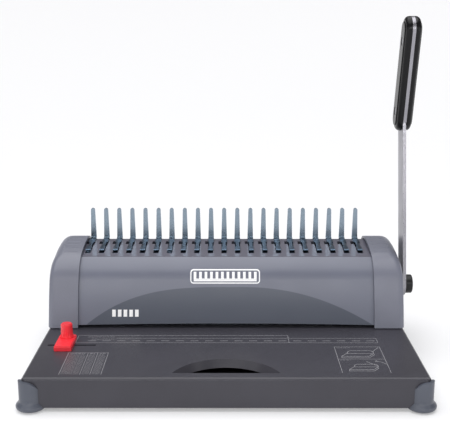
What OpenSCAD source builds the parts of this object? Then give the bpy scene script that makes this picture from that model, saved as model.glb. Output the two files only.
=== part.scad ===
// Desktop comb binding machine: a punch, a comb opener and a paper tray in one.
// X runs to the right, Y to the back and Z up. The table is the plane Z = 0.

/* [Base] */
// Width over the base and the end caps
body_w = 361; // [350:1:440]
// Depth of the base, front to back
body_d = 238; // [225:1:290]
// Height of the paper tray's surface above the table
tray_top = 32; // [31:0.5:40]
// Height of the base's lower edge above the table
base_lift = 4; // [3.5:0.1:6]
// Thickness of the base's side walls
base_wall = 2.5; // [1.8:0.1:3.5]
// Thickness of the tray's top skin
tray_skin = 3; // [2.4:0.1:4]
// Radius of the base's upright corners
base_corner_r = 6; // [3:0.5:8]
// Radius along the tray's top edges
tray_edge_r = 3.5; // [1:0.5:4]
// Thickness of the sheet that closes the base
bottom_sheet = 1.5; // [1:0.1:2.5]
// Radius of the arched hand hole in the tray
hand_r = 53; // [45:1:60]
// Height of the hand hole's arch above its straight front edge
hand_rise = 33; // [24:1:36]
// Distance of the hand hole from the tray's front edge
hand_inset = 11.5; // [9:0.5:25]
// Width of the hand hole's sloping lip
hand_lip = 5; // [3:0.5:8]

/* [Feet] */
// Radius of the round part of each foot
foot_r = 13.5; // [12:0.5:16]
// Thickness of the corner shell above the foot
foot_shell = 3; // [2:0.5:4]
// How far the corner shell runs along each side of the base
foot_reach = 17; // [15:1:24]
// Gap between the corner shell's top and the tray's surface
foot_drop = 3.4; // [2:0.2:8]
// Diameter of the rubber pads
pad_d = 18; // [14:1:22]

/* [Hood] */
// Depth of the hood, front to back
hood_d = 118; // [116:1:135]
// Height of the hood's crest above the tray
hood_h = 74.8; // [72:0.2:86]
// Width of each end cap
cap_w = 30.5; // [29:0.5:36]
// Gap between the end caps and the tray
cap_gap = 1; // [0.6:0.1:2]
// Thickness of the caps' and covers' walls
hood_wall = 2.5; // [1.6:0.1:3]
// How far the covers sit below the end caps' surface
cover_step = 2.7; // [2:0.1:4]
// Gap between the tray and the middle of the front cover's arched edge
throat_h = 4.8; // [4.5:0.1:6]
// How much lower the ends of that edge are
arch_drop = 1.7; // [0.5:0.1:2.5]
// How far the covers reach in under the end caps
cover_lap = 5; // [3:0.5:7]

/* [Punch] */
// Number of punches, hooks and teeth
hole_n = 21; // [9:1:21]
// Spacing of the punched holes
pitch = 14.2875; // [10:0.0125:14.5]
// Width of a punched hole
hole_w = 8; // [6:0.5:9]
// Front-to-back size of a punched hole
hole_d = 3; // [2:0.1:4]
// Distance of the holes' centres from the sheet's edge
hole_margin = 4.5; // [3.5:0.1:6]
// Gap that takes the paper
paper_gap = 3.5; // [2:0.1:3.9]
// Thickness of the die
die_t = 5; // [4:0.1:6]
// Height of the guide that steers the punches
guide_h = 7.5; // [6:0.1:9]
// Height of the punch bar
bar_h = 10; // [9:0.5:12]
// Front-to-back size of the punch bar
bar_d = 14; // [13:0.5:15]
// Clearance around a punch in the guide and the die
punch_clear = 0.15; // [0.05:0.01:0.3]

/* [Drive] */
// Angle the lever swings forward from its rest
swing = 80; // [60:1:84]
// Module of the pinion and the racks
gear_m = 1.25; // [1:0.05:1.4]
// Number of teeth on the pinion
gear_n = 12; // [12:1:13]
// Diameter of the lever shaft
shaft_d = 9; // [7:0.5:9.5]
// Thickness of the side frames
frame_t = 3; // [2:0.5:4]
// Depth of the return springs' seats in the punch bar
spring_pocket = 7; // [5:0.5:7.5]

/* [Lever] */
// Thickness of the lever's steel bar
lever_t = 3.5; // [3:0.5:5]
// Width of the lever's steel bar
lever_w = 24; // [20:1:28]
// Angle the resting lever leans back
lever_lean = 13.3; // [5:0.1:18]
// Length of the bar from its pivot to the bend
lever_shank = 171; // [130:1:210]
// Length of the grip part above the bend
lever_top = 98; // [80:1:120]
// Angle of the bend at the grip
lever_bend = 28.6; // [0:0.1:32]
// Thickness of each grip scale
grip_t = 7; // [5:0.5:10]
// Width of the grip scales
grip_w = 27; // [26:0.5:32]
// Gap between the right end cap and the lever
lever_gap = 3; // [2:0.5:6]
// Diameter of the lever's round nut
knob_d = 19.5; // [16:0.5:24]
// Height of the lever's round nut
knob_h = 7.8; // [6:0.1:10]

/* [Comb opener] */
// Height of the teeth above the deck
tooth_h = 33; // [25:0.5:40]
// Width of a tooth at its root
tooth_root_w = 6.1; // [5:0.1:7]
// Width of a tooth at its tip
tooth_tip_w = 4.4; // [3:0.1:5]
// Thickness of the tooth sheet
tooth_t = 2; // [1.5:0.1:2.5]
// Width of the deck's slots
slot_w = 5.6; // [5.3:0.1:6]
// Thickness of the hook sheet
hook_t = 1.5; // [1.2:0.1:1.8]
// Length of a hook above the deck
hook_len = 30; // [24:0.5:31]

/* [Edge guide] */
// Width of the edge guide's block
edge_w = 16.7; // [14:0.1:20]
// Depth of the edge guide's block
edge_d = 32; // [28:1:36]
// Height of the edge guide's block
edge_h = 5; // [4:0.5:8]
// Length of the slot that the edge guide slides in
edge_slot_l = 47; // [35:1:55]
// Width of that slot
edge_slot_w = 3; // [2.5:0.1:4]
// Diameter of the edge guide's knob
edge_knob_d = 11.9; // [10:0.1:13]
// Height of the edge guide's knob
edge_knob_h = 13.5; // [10:0.5:18]

/* [Chip drawer] */
// Front-to-back size of the chip drawer
drawer_d = 50; // [40:1:52]
// Thickness of the drawer's walls
drawer_wall = 1.5; // [1.2:0.1:2]
// Running gap around the drawer
drawer_gap = 0.4; // [0.3:0.1:0.8]

/* [Hidden] */
$fn = 48;
eps = 0.01;
seat = 0.1;             // gap left where two still pieces are assembled
run_fit = 0.04;         // radial clearance of a turning or sliding fit

half_w = body_w / 2;
half_d = body_d / 2;
foot_over = foot_r - 7; // how far the round foot stands out of the base
knob_x1 = half_w + lever_gap + lever_t + knob_h;
// The frame's origin is the middle of everything, and the lever stands out on one side only.
mid_shift = (knob_x1 - half_w - foot_over) / 2;

// Hood outline: four arcs that meet tangentially, seen from the side.
hood_y0 = half_d - hood_d;
hood_y1 = half_d;
cap_z0 = tray_top + cap_gap;
crest_z = tray_top + hood_h;
crest_y = hood_y0 + 84;
rear_r = hood_y1 - crest_y;
top_r = 190;
shoulder_r = 36;
front_r = 300;
top_angle = 13.5;
front_angle = 22;
top_c = [crest_y, crest_z - top_r];
shoulder_c = top_c + (top_r - shoulder_r) * [-sin(top_angle), cos(top_angle)];
front_c = shoulder_c + (front_r - shoulder_r) * [cos(front_angle), -sin(front_angle)];
cap_x0 = half_w - cap_w;
cap_top_r = 13;
cap_front_r = 5;
cap_rear_r = 8;
rear_step = cover_step + 1.8;

// Deck: a sheet that slopes down to the front.
deck_t = 1.5;
deck_slope = 4.5;
deck_y1 = hood_y0 + 91.3;
deck_z1 = crest_z - 4.4;
deck_y0 = hood_y0 + 36.5;
function deck_z(y) = deck_z1 - (deck_y1 - y) * tan(deck_slope);

// Side frames
frame_x0 = half_w - 20.5;
frame_x1 = frame_x0 + frame_t;
frame_inset = 9;
flange_w = 12;
flange_t = 2.5;

// Shaft, pinion and racks
shaft_y = hood_y0 + 45;
shaft_z = tray_top + 34;
gear_r = gear_m * gear_n / 2;
pressure = 25;
backlash = 0.2;
stroke = gear_r * swing * PI / 180;
pinion_x0 = frame_x0 - 18;
pinion_x1 = frame_x0 - 2;
punch_rack_x0 = frame_x0 - 9;
punch_rack_x1 = frame_x0 - 2;
opener_rack_x0 = pinion_x0;
opener_rack_x1 = pinion_x0 + 7;
rack_back = 5;          // thickness of a rack behind its teeth
bush_d = shaft_d + 5;

// Punch train, from the die upward
row_x = -2.3;           // the row of holes is this far to the right of the middle
punch_y = hood_y0 + 23;
die_z0 = tray_top - die_t;
guide_z0 = tray_top + paper_gap;
guide_z1 = guide_z0 + guide_h;
bar_z0 = guide_z1 + stroke + 0.6;
bar_z1 = bar_z0 + bar_h;
bar_y0 = punch_y - bar_d / 2;
bar_y1 = punch_y + bar_d / 2;
pin_z0 = guide_z0 + 0.6;
pin_grip = 3;
post_d = 5;
post_x = frame_x0 - 5.5;
spring_d = 9;
spring_wire = 1;
spring_turns = 6;
die_y0 = punch_y - 10;
die_y1 = punch_y + 10;
die_x = frame_x0 - 2;
die_flange = 4;
bolt_x = frame_x1 + 6;
spacer_x = cap_x0 + 2;

// Teeth and hooks
tooth_y = deck_y1 + 0.3;
tooth_root_z = deck_z1 + 1.4;
tooth_web_z0 = crest_z - 24;
ledge_d = 3;
hook_lift = 0.5;
hook_y0 = deck_y1 - 4 - hook_len;
hook_foot_l = 3.2;
hook_lip = 6;
hook_roll_d = 2.2;
hook_neck_w = 3.6;
hook_foot_w = 5;
hook_head_w = 6.2;
slot_y0 = hook_y0 - stroke - 0.7;
slot_y1 = deck_y1 - 3.6;
notch_y0 = slot_y1 - 13;
notch_y1 = slot_y1 - 4;
notch_w = 3.4;
opener_t = 2;
opener_z1 = deck_z(slot_y0) - deck_t - 2.2;
opener_z0 = opener_z1 - opener_t;
opener_y0 = hook_y0 - 2;
opener_y1 = hook_y0 + 26;
rail_y0 = opener_y0 - stroke - 1;
rail_y1 = deck_y1 - 4;
rail_x0 = frame_x0 - 4;
tab_x = frame_x0 - 1.5;

// Beam, rod and brackets
beam_y0 = tooth_y + tooth_t;
beam_d = 8;
beam_z0 = crest_z - 26;
beam_h = 12;
rod_y = hood_y0 + 99;
rod_z = tray_top + 20;
rod_d = 8;
bracket_x = 100;
bracket_w = 12;
rear_wall_y0 = hood_y1 - rear_step - hood_wall;
bracket_bolt_y = rear_wall_y0 - 6.5;

// Lever, with its pivot at the shaft
lever_x0 = half_w + lever_gap;
lever_x1 = lever_x0 + lever_t;
stub_d = 7;
stub_flat = 5.4;
stud_d = 5;
grip_step = 1;
grip_round = min(4.5, grip_t - grip_step - 0.5);
grip_ledge = 0.8;
grip_end_sides = 16;
rivet_d = 5;

// Edge guide
edge_y = hood_y0 - 42.9;
edge_slot_x = -half_w + 32;
edge_x = -half_w + 25.9;
edge_knob_y = edge_y + 9.5;
key_l = 12;

// Chip drawer
sheet_z1 = base_lift + 0.5 + bottom_sheet;
drawer_y0 = punch_y - 16;
drawer_y1 = drawer_y0 + drawer_d;
drawer_z0 = sheet_z1 + 1.5;
drawer_z1 = die_z0 - 2.2;
drawer_x0 = -half_w;
drawer_x1 = frame_x0 - 8;
bay_gap = 0.6;

boss_d = 9;
boss_in = 12;

// ---------------------------------------------------------------- helpers

module placed() { translate([-mid_shift, 0, 0]) children(); }

module mirrored() {
    children();
    mirror([1, 0, 0]) children();
}

module block(x0, x1, y0, y1, z0, z1) {
    translate([x0, y0, z0]) cube([x1 - x0, y1 - y0, z1 - z0]);
}

// Extrudes an outline drawn in (Y, Z) from x0 to x1
module along_x(x0, x1) {
    translate([x0, 0, 0]) rotate([90, 0, 90]) linear_extrude(x1 - x0) children();
}

// Extrudes an outline drawn in (X, Z) from y0 to y1
module along_y(y0, y1) {
    translate([0, y1, 0]) rotate([90, 0, 0]) linear_extrude(y1 - y0) children();
}

module rod_x(x0, x1, y, z, d) {
    translate([x0, y, z]) rotate([0, 90, 0]) cylinder(h = x1 - x0, d = d);
}

module rod_y_axis(y0, y1, x, z, d) {
    translate([x, y1, z]) rotate([90, 0, 0]) cylinder(h = y1 - y0, d = d);
}

module rod_z_axis(z0, z1, x, y, d) {
    translate([x, y, z0]) cylinder(h = z1 - z0, d = d);
}

// A rectangle with all four corners rounded, about the origin
module round_rect(w, d, r) {
    square([w - 2 * r, d], center = true);
    square([w, d - 2 * r], center = true);
    for (sx = [-1, 1], sy = [-1, 1])
        translate([sx * (w / 2 - r), sy * (d / 2 - r)]) circle(r);
}

// An outline of width w from z0 to z1 whose two upper corners are rounded
module domed_rect(w, z0, z1, r) {
    translate([-w / 2, z0]) square([w, z1 - r - z0]);
    translate([-w / 2 + r, z0]) square([w - 2 * r, z1 - z0]);
    for (s = [-1, 1]) translate([s * (w / 2 - r), z1 - r]) circle(r);
}

// A screw with a domed head that points down, its head's seat at the origin
module screw(d, l) {
    translate([0, 0, -l]) cylinder(h = l, d = d, $fn = 24);
    difference() {
        cylinder(h = d * 0.6, d = d * 1.9, $fn = 32);
        translate([-d * 0.55, -d * 0.1, d * 0.35]) cube([d * 1.1, d * 0.2, d]);
        translate([-d * 0.1, -d * 0.55, d * 0.35]) cube([d * 0.2, d * 1.1, d]);
    }
}

// A closed skin over rings of points; each ring turns clockwise as seen from the end they lead to
module loft(rings) {
    n = len(rings[0]);
    last = len(rings) - 1;
    walls = [for (j = [0 : last - 1], k = [0 : n - 1])
        let (a = j * n + k, b = j * n + (k + 1) % n)
        each [[a, b, b + n], [a, b + n, a + n]]];
    start = [for (k = [n - 1 : -1 : 0]) k];
    end = [for (k = [0 : n - 1]) last * n + k];
    polyhedron([for (ring = rings) each ring], concat(walls, [start, end]));
}

function ring_points(c, u, v, r, sides) =
    [for (k = [0 : sides - 1]) let (a = k * 360 / sides) c + r * (cos(a) * u + sin(a) * v)];

// A round wire swept along an upright helix that starts at z0 and ends at z1
module helix(z0, z1, mean_r, wire_d, turns, per_turn = 20, sides = 8) {
    n = turns * per_turn;
    rings = [for (i = [0 : n])
        let (a = 360 * turns * i / n,
             c = [mean_r * cos(a), mean_r * sin(a), z0 + (z1 - z0) * i / n],
             out = [cos(a), sin(a), 0])
        ring_points(c, out, [0, 0, 1], wire_d / 2, sides)];
    loft(rings);
}

// The hood's side outline, moved inward by separate amounts at its top, front and rear
module hood_2d(top_in, front_in, rear_in) {
    difference() {
        intersection() {
            translate(top_c) circle(top_r - top_in, $fn = 400);
            translate(front_c) circle(front_r - front_in, $fn = 720);
            translate([hood_y0 - 20, cap_z0])
                square([hood_y1 - rear_in - hood_y0 + 20, hood_h + 20]);
        }
        difference() {
            polygon([shoulder_c,
                     shoulder_c + 80 * [-sin(top_angle), cos(top_angle)],
                     shoulder_c + 120 * [-sin(45), cos(45)],
                     shoulder_c + 80 * [-cos(front_angle), sin(front_angle)]]);
            translate(shoulder_c) circle(shoulder_r - top_in, $fn = 96);
        }
        difference() {
            translate([crest_y, crest_z - rear_r]) square(rear_r + 20);
            translate([crest_y, crest_z - rear_r]) circle(rear_r - rear_in, $fn = 96);
        }
    }
}

// How far a corner of radius r has come in at a distance d from the outer face
function corner_in(d, r) = d >= r ? 0 : r - sqrt(r * r - (r - d) * (r - d));

// Points of an arc that turns clockwise, each with its outward direction and corner radius
function hood_arc(c, r, a0, a1, n, r0, r1) =
    [for (k = [0 : n - 1]) let (t = k / n, a = a0 + (a1 - a0) * t)
        [c + r * [cos(a), sin(a)], [cos(a), sin(a)], r0 + (r1 - r0) * t]];

front_foot = asin((cap_z0 + 4 - front_c[1]) / front_r);
rear_c = [crest_y, crest_z - rear_r];
hood_points = concat(
    [[[hood_y0, cap_z0], [-1, 0], cap_front_r]],
    hood_arc(front_c, front_r, 180 - front_foot, 180 - front_angle, 6, cap_front_r, cap_front_r),
    hood_arc(shoulder_c, shoulder_r, 180 - front_angle, 90 + top_angle, 12, cap_front_r,
             cap_top_r),
    hood_arc(top_c, top_r, 90 + top_angle, 90, 6, cap_top_r, cap_top_r),
    hood_arc(rear_c, rear_r, 90, 0, 16, cap_top_r, cap_rear_r),
    [[[hood_y1, crest_z - rear_r], [1, 0], cap_rear_r], [[hood_y1, cap_z0], [1, 0], cap_rear_r]]);

// One ring of the cap's form, at a distance d in from the outer face
function cap_ring(x, d, wall, drop) =
    [for (i = [0 : len(hood_points) - 1])
        let (h = hood_points[i],
             p = h[0] - h[1] * (corner_in(d, h[2]) + wall),
             end = i == 0 || i == len(hood_points) - 1)
        [x, p[0], end ? cap_z0 - drop : p[1]]];

// The right cap's full form; wall moves its faces inward, past its open end and foot
module cap_form(wall) {
    over = wall > 0 ? 1 : 0;
    n = len(hood_points);
    stations = [for (a = [90 : -15 : 0]) cap_top_r * (1 - sin(a))];
    rings = concat([for (d = stations) cap_ring(half_w - wall - d, d, wall, over)],
                   [cap_ring(cap_x0 - over, cap_w, wall, over)]);
    last = len(rings) - 1;
    walls = [for (j = [0 : last - 1], i = [0 : n - 1])
        let (a = j * n + i, b = j * n + (i + 1) % n)
        each [[b, a, b + n], [b + n, a, a + n]]];
    polyhedron([for (r = rings) each r],
               concat(walls, [[for (i = [0 : n - 1]) i]],
                      [[for (i = [n - 1 : -1 : 0]) last * n + i]]));
}

module hood_shell(inset, rear_inset) {
    difference() {
        along_x(-cap_x0 - cover_lap, cap_x0 + cover_lap) hood_2d(inset, inset, rear_inset);
        translate([0, 0, -eps]) along_x(-cap_x0 - cover_lap - eps, cap_x0 + cover_lap + eps)
            hood_2d(inset + hood_wall, inset + hood_wall, rear_inset + hood_wall);
        block(-half_w, half_w, hood_y0 + hood_wall + 4, rear_wall_y0, 0, cap_z0 + 1);
    }
}

function cap_boss_places() = [
    [hood_y0 + 34, tray_top + 14], [hood_y0 + 96, tray_top + 12], [hood_y0 + 80, tray_top + 44]
];

// ---------------------------------------------------------------- base

module tray_form() {
    intersection() {
        translate([0, 0, base_lift])
            linear_extrude(tray_top - base_lift) round_rect(body_w, body_d, base_corner_r);
        along_x(-half_w, half_w) domed_rect(body_d, base_lift, tray_top, tray_edge_r);
        along_y(-half_d, half_d) domed_rect(body_w, base_lift, tray_top, tray_edge_r);
    }
}

// The D-shaped hand hole, which narrows downward like a funnel
module hand_funnel(grow, z0, z1) {
    front = -half_d + hand_inset;
    translate([0, 0, z0]) intersection() {
        translate([0, front + hand_rise - hand_r, 0])
            cylinder(h = z1 - z0, r1 = hand_r - hand_lip + grow, r2 = hand_r + grow, $fn = 96);
        translate([-hand_r - 5, front - grow, 0]) cube([2 * hand_r + 10, 2 * hand_r, z1 - z0]);
    }
}

function corners() = [for (sx = [-1, 1], sy = [-1, 1]) [sx, sy]];

module base_tray() {
    placed() color("#56565d") difference() {
        union() {
            difference() {
                tray_form();
                translate([0, 0, base_lift - 1])
                    linear_extrude(tray_top - tray_skin - base_lift + 1)
                    round_rect(body_w - 2 * base_wall, body_d - 2 * base_wall,
                               base_corner_r - base_wall);
            }
            for (c = corners())
                rod_z_axis(base_lift, tray_top - 1, c[0] * (half_w - boss_in),
                           c[1] * (half_d - boss_in), boss_d);
            for (s = [-1, 1], k = [1, 2])
                rod_z_axis(tray_top - tray_skin - 6, tray_top - 1, s * bolt_x,
                           frame_bolt_ys()[k], 8);
            hand_funnel(2, tray_top - 7, tray_top - 1);
        }
        for (c = corners())
            rod_z_axis(0, base_lift + 12, c[0] * (half_w - boss_in),
                       c[1] * (half_d - boss_in), 3);
        translate([0, 0, -eps]) hand_funnel(0, tray_top - 7, tray_top + 1.2);
        // opening for the die
        block(-die_x - seat, die_x + seat, die_y0 - seat, die_y1 + seat, 20, tray_top + 1);
        // slot for the edge guide
        translate([edge_slot_x, edge_y, 20]) linear_extrude(20)
            round_rect(edge_slot_l, edge_slot_w, edge_slot_w / 2 - eps);
        // mouth of the chip drawer
        block(-half_w - 1, -half_w + base_wall + 1, drawer_y0 - bay_gap, drawer_y1 + bay_gap,
              drawer_z0 - bay_gap, drawer_z1 + bay_gap);
        // holes for the frames' bolts
        for (s = [-1, 1], y = frame_bolt_ys()) rod_z_axis(20, tray_top + 1, s * bolt_x, y, 4.4);
        for (s = [-1, 1]) rod_z_axis(20, tray_top + 1, s * bracket_x, bracket_bolt_y, 3.4);
    }
}

function frame_bolt_ys() = [punch_y, hood_y0 + 62, hood_y0 + 98];

module bottom_plate() {
    placed() color("#2b2b2e") difference() {
        translate([0, 0, base_lift + 0.5]) linear_extrude(bottom_sheet)
            round_rect(body_w - 2 * base_wall - 4 * seat, body_d - 2 * base_wall - 4 * seat, 3);
        for (c = corners())
            rod_z_axis(0, 20, c[0] * (half_w - boss_in), c[1] * (half_d - boss_in),
                       boss_d + 4 * seat);
    }
}

// ---------------------------------------------------------------- feet

// The front left foot, with the base's corner at the origin and the base toward +X +Y
module foot_local() {
    top = tray_top - foot_drop;
    arc = 14;
    difference() {
        union() {
            translate([0, 0, 1]) linear_extrude(top - 1) difference() {
                translate([foot_reach / 2 - foot_shell / 2, foot_reach / 2 - foot_shell / 2])
                    round_rect(foot_reach + foot_shell, foot_reach + foot_shell, 8);
                translate([foot_reach - 8, foot_reach - 8]) square(20);
            }
            translate([7, 7, 1]) rotate_extrude() {
                square([foot_r - 2.5, 7]);
                translate([foot_r - 3, 3]) circle(3, $fn = 32);
                translate([0, 3]) square([foot_r, eps]);
                polygon([[0, 3], [foot_r - 0.6, 4.8], [foot_r - 2.6, 7.2], [foot_r - 3.4, 10],
                         [0, 10]]);
            }
        }
        // room for the base, which the shell wraps
        translate([0, 0, base_lift - seat]) linear_extrude(60)
            translate([100 - seat, 100 - seat]) round_rect(200, 200, base_corner_r);
        // quarter-round tops of the two panels
        along_y(-foot_shell - 5, eps) difference() {
            translate([foot_reach - arc, top - arc]) square(arc + 5);
            translate([foot_reach - arc, top - arc]) circle(arc);
        }
        along_x(-foot_shell - 5, eps) difference() {
            translate([foot_reach - arc, top - arc]) square(arc + 5);
            translate([foot_reach - arc, top - arc]) circle(arc);
        }
        rod_z_axis(0, 1.6, 7, 7, pad_d + 2 * seat);
        rod_z_axis(1.5, 2.9, boss_in, boss_in, 6.2);
        rod_z_axis(0, 20, boss_in, boss_in, 3.3);
    }
}

module at_corner(sx, sy) {
    translate([sx * half_w, sy * half_d, 0])
        mirror([sx > 0 ? 1 : 0, 0, 0]) mirror([0, sy > 0 ? 1 : 0, 0]) children();
}

module foot_front_left() { placed() color("#5f6675") at_corner(-1, -1) foot_local(); }
module foot_front_right() { placed() color("#5f6675") at_corner(1, -1) foot_local(); }
module foot_rear_left() { placed() color("#5f6675") at_corner(-1, 1) foot_local(); }
module foot_rear_right() { placed() color("#5f6675") at_corner(1, 1) foot_local(); }

module foot_pads() {
    placed() color("#1d1d1f") for (c = corners())
        at_corner(c[0], c[1]) rod_z_axis(0, 1.5, 7, 7, pad_d);
}

module foot_screws() {
    placed() color("#b9bcc0") for (c = corners()) at_corner(c[0], c[1]) {
        rod_z_axis(1.6, 2.8, boss_in, boss_in, 6);
        rod_z_axis(2.7, base_lift + 8, boss_in, boss_in, 2.9);
    }
}

// ---------------------------------------------------------------- hood

module front_cover() {
    end_x = cap_x0 + cover_lap;
    arch_r = (end_x * end_x + arch_drop * arch_drop) / (2 * arch_drop);
    placed() color("#6b6e79") difference() {
        hood_shell(cover_step, rear_step);
        block(-half_w, half_w, deck_y0 - seat, hood_y1 + 1, 0, crest_z + 20);
        // arched lower edge
        along_y(hood_y0 - 10, hood_y0 + 20)
            translate([0, tray_top + throat_h - arch_r]) circle(arch_r, $fn = 720);
    }
}

module deck_outline() {
    len = (deck_y1 - deck_y0) / cos(deck_slope);
    difference() {
        translate([-frame_x0 + seat, -len]) square([2 * frame_x0 - 2 * seat, len]);
        for (i = [0 : hole_n - 1]) let (x = tooth_x(i)) {
            translate([x - slot_w / 2, slot_y0 - deck_y1])
                square([slot_w, slot_y1 - slot_y0]);
            translate([x - slot_w / 2 - notch_w, notch_y0 - deck_y1])
                square([notch_w + 1, notch_y1 - notch_y0]);
        }
    }
}

function tooth_x(i) = row_x + (i - (hole_n - 1) / 2) * pitch;

// Puts children drawn on the deck's plane, with their origin at its back edge, in place
module on_deck(lift) {
    translate([0, deck_y1, deck_z1]) rotate([deck_slope, 0, 0]) translate([0, 0, lift])
        children();
}

module deck_plate() {
    placed() color("#75737c") on_deck(-deck_t) linear_extrude(deck_t) deck_outline();
}

module rear_cover() {
    placed() color("#62656f") difference() {
        hood_shell(cover_step, rear_step);
        block(-half_w, half_w, hood_y0 - 10, beam_y0 + 0.3, 0, crest_z + 20);
        for (s = [-1, 1], z = [tray_top + 14, tray_top + 34])
            rod_y_axis(rear_wall_y0 - 1, hood_y1, s * bracket_x, z, 3.6);
    }
}

module cap_right_plain() {
    difference() {
        union() {
            difference() {
                cap_form(0);
                cap_form(hood_wall);
            }
            for (p = cap_boss_places())
                rod_x(frame_x1 + seat, half_w - hood_wall + 0.5, p[0], p[1], 8);
        }
        for (p = cap_boss_places())
            rod_x(frame_x1 - 1, half_w - hood_wall - 2, p[0], p[1], 2.8);
        // shallow grip grooves across the top
        for (k = [0 : 4])
            let (y = crest_y - 8 - 9 * k,
                 z = top_c[1] + sqrt(top_r * top_r - (crest_y - y) * (crest_y - y)))
            rod_x(cap_x0 + 4, half_w - 8, y, z + 0.5, 2);
    }
}

module end_cap_left() {
    placed() color("#666973") mirror([1, 0, 0]) cap_right_plain();
}

module end_cap_right() {
    placed() color("#666973") difference() {
        cap_right_plain();
        rod_x(half_w - hood_wall - 3, half_w + 1, shaft_y, shaft_z, shaft_d + 5);
    }
}

// ---------------------------------------------------------------- frame

module side_frame_right_plain() {
    difference() {
        union() {
            along_x(frame_x0, frame_x1) intersection() {
                hood_2d(frame_inset, frame_inset, frame_inset + 2);
                translate([hood_y0, tray_top]) square([hood_d, hood_h]);
            }
            block(frame_x0, frame_x1, hood_y0 + 13, hood_y1 - frame_inset - 3, tray_top,
                  cap_z0 + 4);
            block(frame_x1 - 1, frame_x1 + flange_w, hood_y0 + 13, hood_y1 - frame_inset - 3,
                  tray_top, tray_top + flange_t);
        }
        rod_x(frame_x0 - 1, frame_x1 + 1, shaft_y, shaft_z, bush_d);
        for (p = cap_boss_places()) rod_x(frame_x0 - 1, frame_x1 + 1, p[0], p[1], 3.4);
        rod_x(frame_x0 - 1, frame_x1 + 1, rod_y, rod_z, 5);
        for (z = beam_bolt_zs())
            rod_x(frame_x0 - 1, frame_x1 + 1, beam_y0 + beam_d / 2, z, 3.4);
        for (y = rail_bolt_ys()) rod_x(frame_x0 - 1, frame_x1 + 1, y, rail_bolt_z(), 3.4);
        for (y = frame_bolt_ys()) rod_z_axis(tray_top - 1, tray_top + 9, bolt_x, y, 4.4);
    }
}

function beam_bolt_zs() = [beam_z0 + beam_h / 2];
function rail_bolt_ys() = [rail_y0 + 9, rail_y1 - 9];
function rail_bolt_z() = opener_z0 - 4;

module side_frame_left() {
    placed() color("#9b9ea3") mirror([1, 0, 0]) side_frame_right_plain();
}

module side_frame_right() { placed() color("#9b9ea3") side_frame_right_plain(); }

// One pocket for each punch, from z0 to z1, larger than the punch by grow all round
module punch_row(z0, z1, grow) {
    for (i = [0 : hole_n - 1])
        block(tooth_x(i) - hole_w / 2 - grow, tooth_x(i) + hole_w / 2 + grow,
              punch_y - hole_d / 2 - grow, punch_y + hole_d / 2 + grow, z0, z1);
}

module die_plate() {
    under = tray_top - tray_skin;
    placed() color("#a9acb0") difference() {
        union() {
            block(-die_x, die_x, die_y0, die_y1, die_z0, tray_top);
            block(-bolt_x - 5, bolt_x + 5, die_y0 - die_flange, die_y1 + die_flange, die_z0,
                  under);
        }
        punch_row(die_z0 - 1, tray_top + 1, punch_clear);
        for (s = [-1, 1]) rod_z_axis(die_z0 - 1, under + 1, s * bolt_x, punch_y, 4.2);
        for (s = [-1, 1]) rod_z_axis(die_z0 - 1, tray_top + 1, s * post_x, punch_y, 3.2);
    }
}

module punch_guide() {
    placed() color("#a4a7ab") difference() {
        block(-die_x, die_x, punch_y - 8, punch_y + 8, guide_z0, guide_z1);
        punch_row(guide_z0 - 1, guide_z1 + 1, punch_clear);
        for (s = [-1, 1]) rod_z_axis(guide_z0 - 1, guide_z1 + 1, s * post_x, punch_y, 3.2);
    }
}

module guide_spacers() {
    placed() color("#8e9196") mirrored() difference() {
        block(spacer_x, die_x, punch_y - 8, punch_y + 8, tray_top, guide_z0);
        rod_z_axis(tray_top - 1, guide_z0 + 1, post_x, punch_y, 3.2);
    }
}

module paper_stop() {
    y0 = punch_y + hole_margin;
    placed() color("#8e9196")
        block(-spacer_x + seat, spacer_x - seat, y0, punch_y + 8, tray_top, guide_z0 - 0.1);
}

module comb_rack() {
    placed() color("#93a2ab") difference() {
        union() {
            block(-frame_x0 + 2, frame_x0 - 2, tooth_y, tooth_y + tooth_t, tooth_web_z0,
                  deck_z1 - 0.8);
            for (i = [0 : hole_n - 1]) {
                translate([tooth_x(i), 0, 0]) along_y(tooth_y, tooth_y + tooth_t)
                    comb_tooth_2d();
                block(tooth_x(i) - tooth_root_w / 2, tooth_x(i) + tooth_root_w / 2,
                      tooth_y - ledge_d, tooth_y + 0.5, tooth_root_z - 0.9,
                      tooth_root_z + 0.5);
            }
        }
        for (x = rack_bolt_xs())
            rod_y_axis(tooth_y - 1, tooth_y + tooth_t + 1, x, rack_bolt_z(), 3);
    }
}

module comb_tooth_2d() {
    tip_r = tooth_tip_w / 2;
    tip_z = tooth_root_z + tooth_h - tip_r;
    polygon([[-tooth_root_w / 2, deck_z1 - 2], [tooth_root_w / 2, deck_z1 - 2],
             [tooth_root_w / 2, tooth_root_z], [tip_r, tip_z], [-tip_r, tip_z],
             [-tooth_root_w / 2, tooth_root_z]]);
    translate([0, tip_z]) circle(tip_r);
}

module rack_beam() {
    placed() color("#8e9196") difference() {
        block(-frame_x0, frame_x0, beam_y0, beam_y0 + beam_d, beam_z0, beam_z0 + beam_h);
        for (s = [-1, 1], z = beam_bolt_zs())
            rod_x(s > 0 ? frame_x0 - 12 : -frame_x0 - 1, s > 0 ? frame_x0 + 1 : -frame_x0 + 12,
                  beam_y0 + beam_d / 2, z, 2.8);
        for (x = rack_bolt_xs())
            rod_y_axis(beam_y0 - 1, beam_y0 + 6, x, rack_bolt_z(), 2.8);
    }
}

function rack_bolt_xs() = [for (k = [-1.5 : 1 : 1.5]) k * frame_x0 * 0.58];
function rack_bolt_z() = beam_z0 + beam_h / 2;

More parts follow.
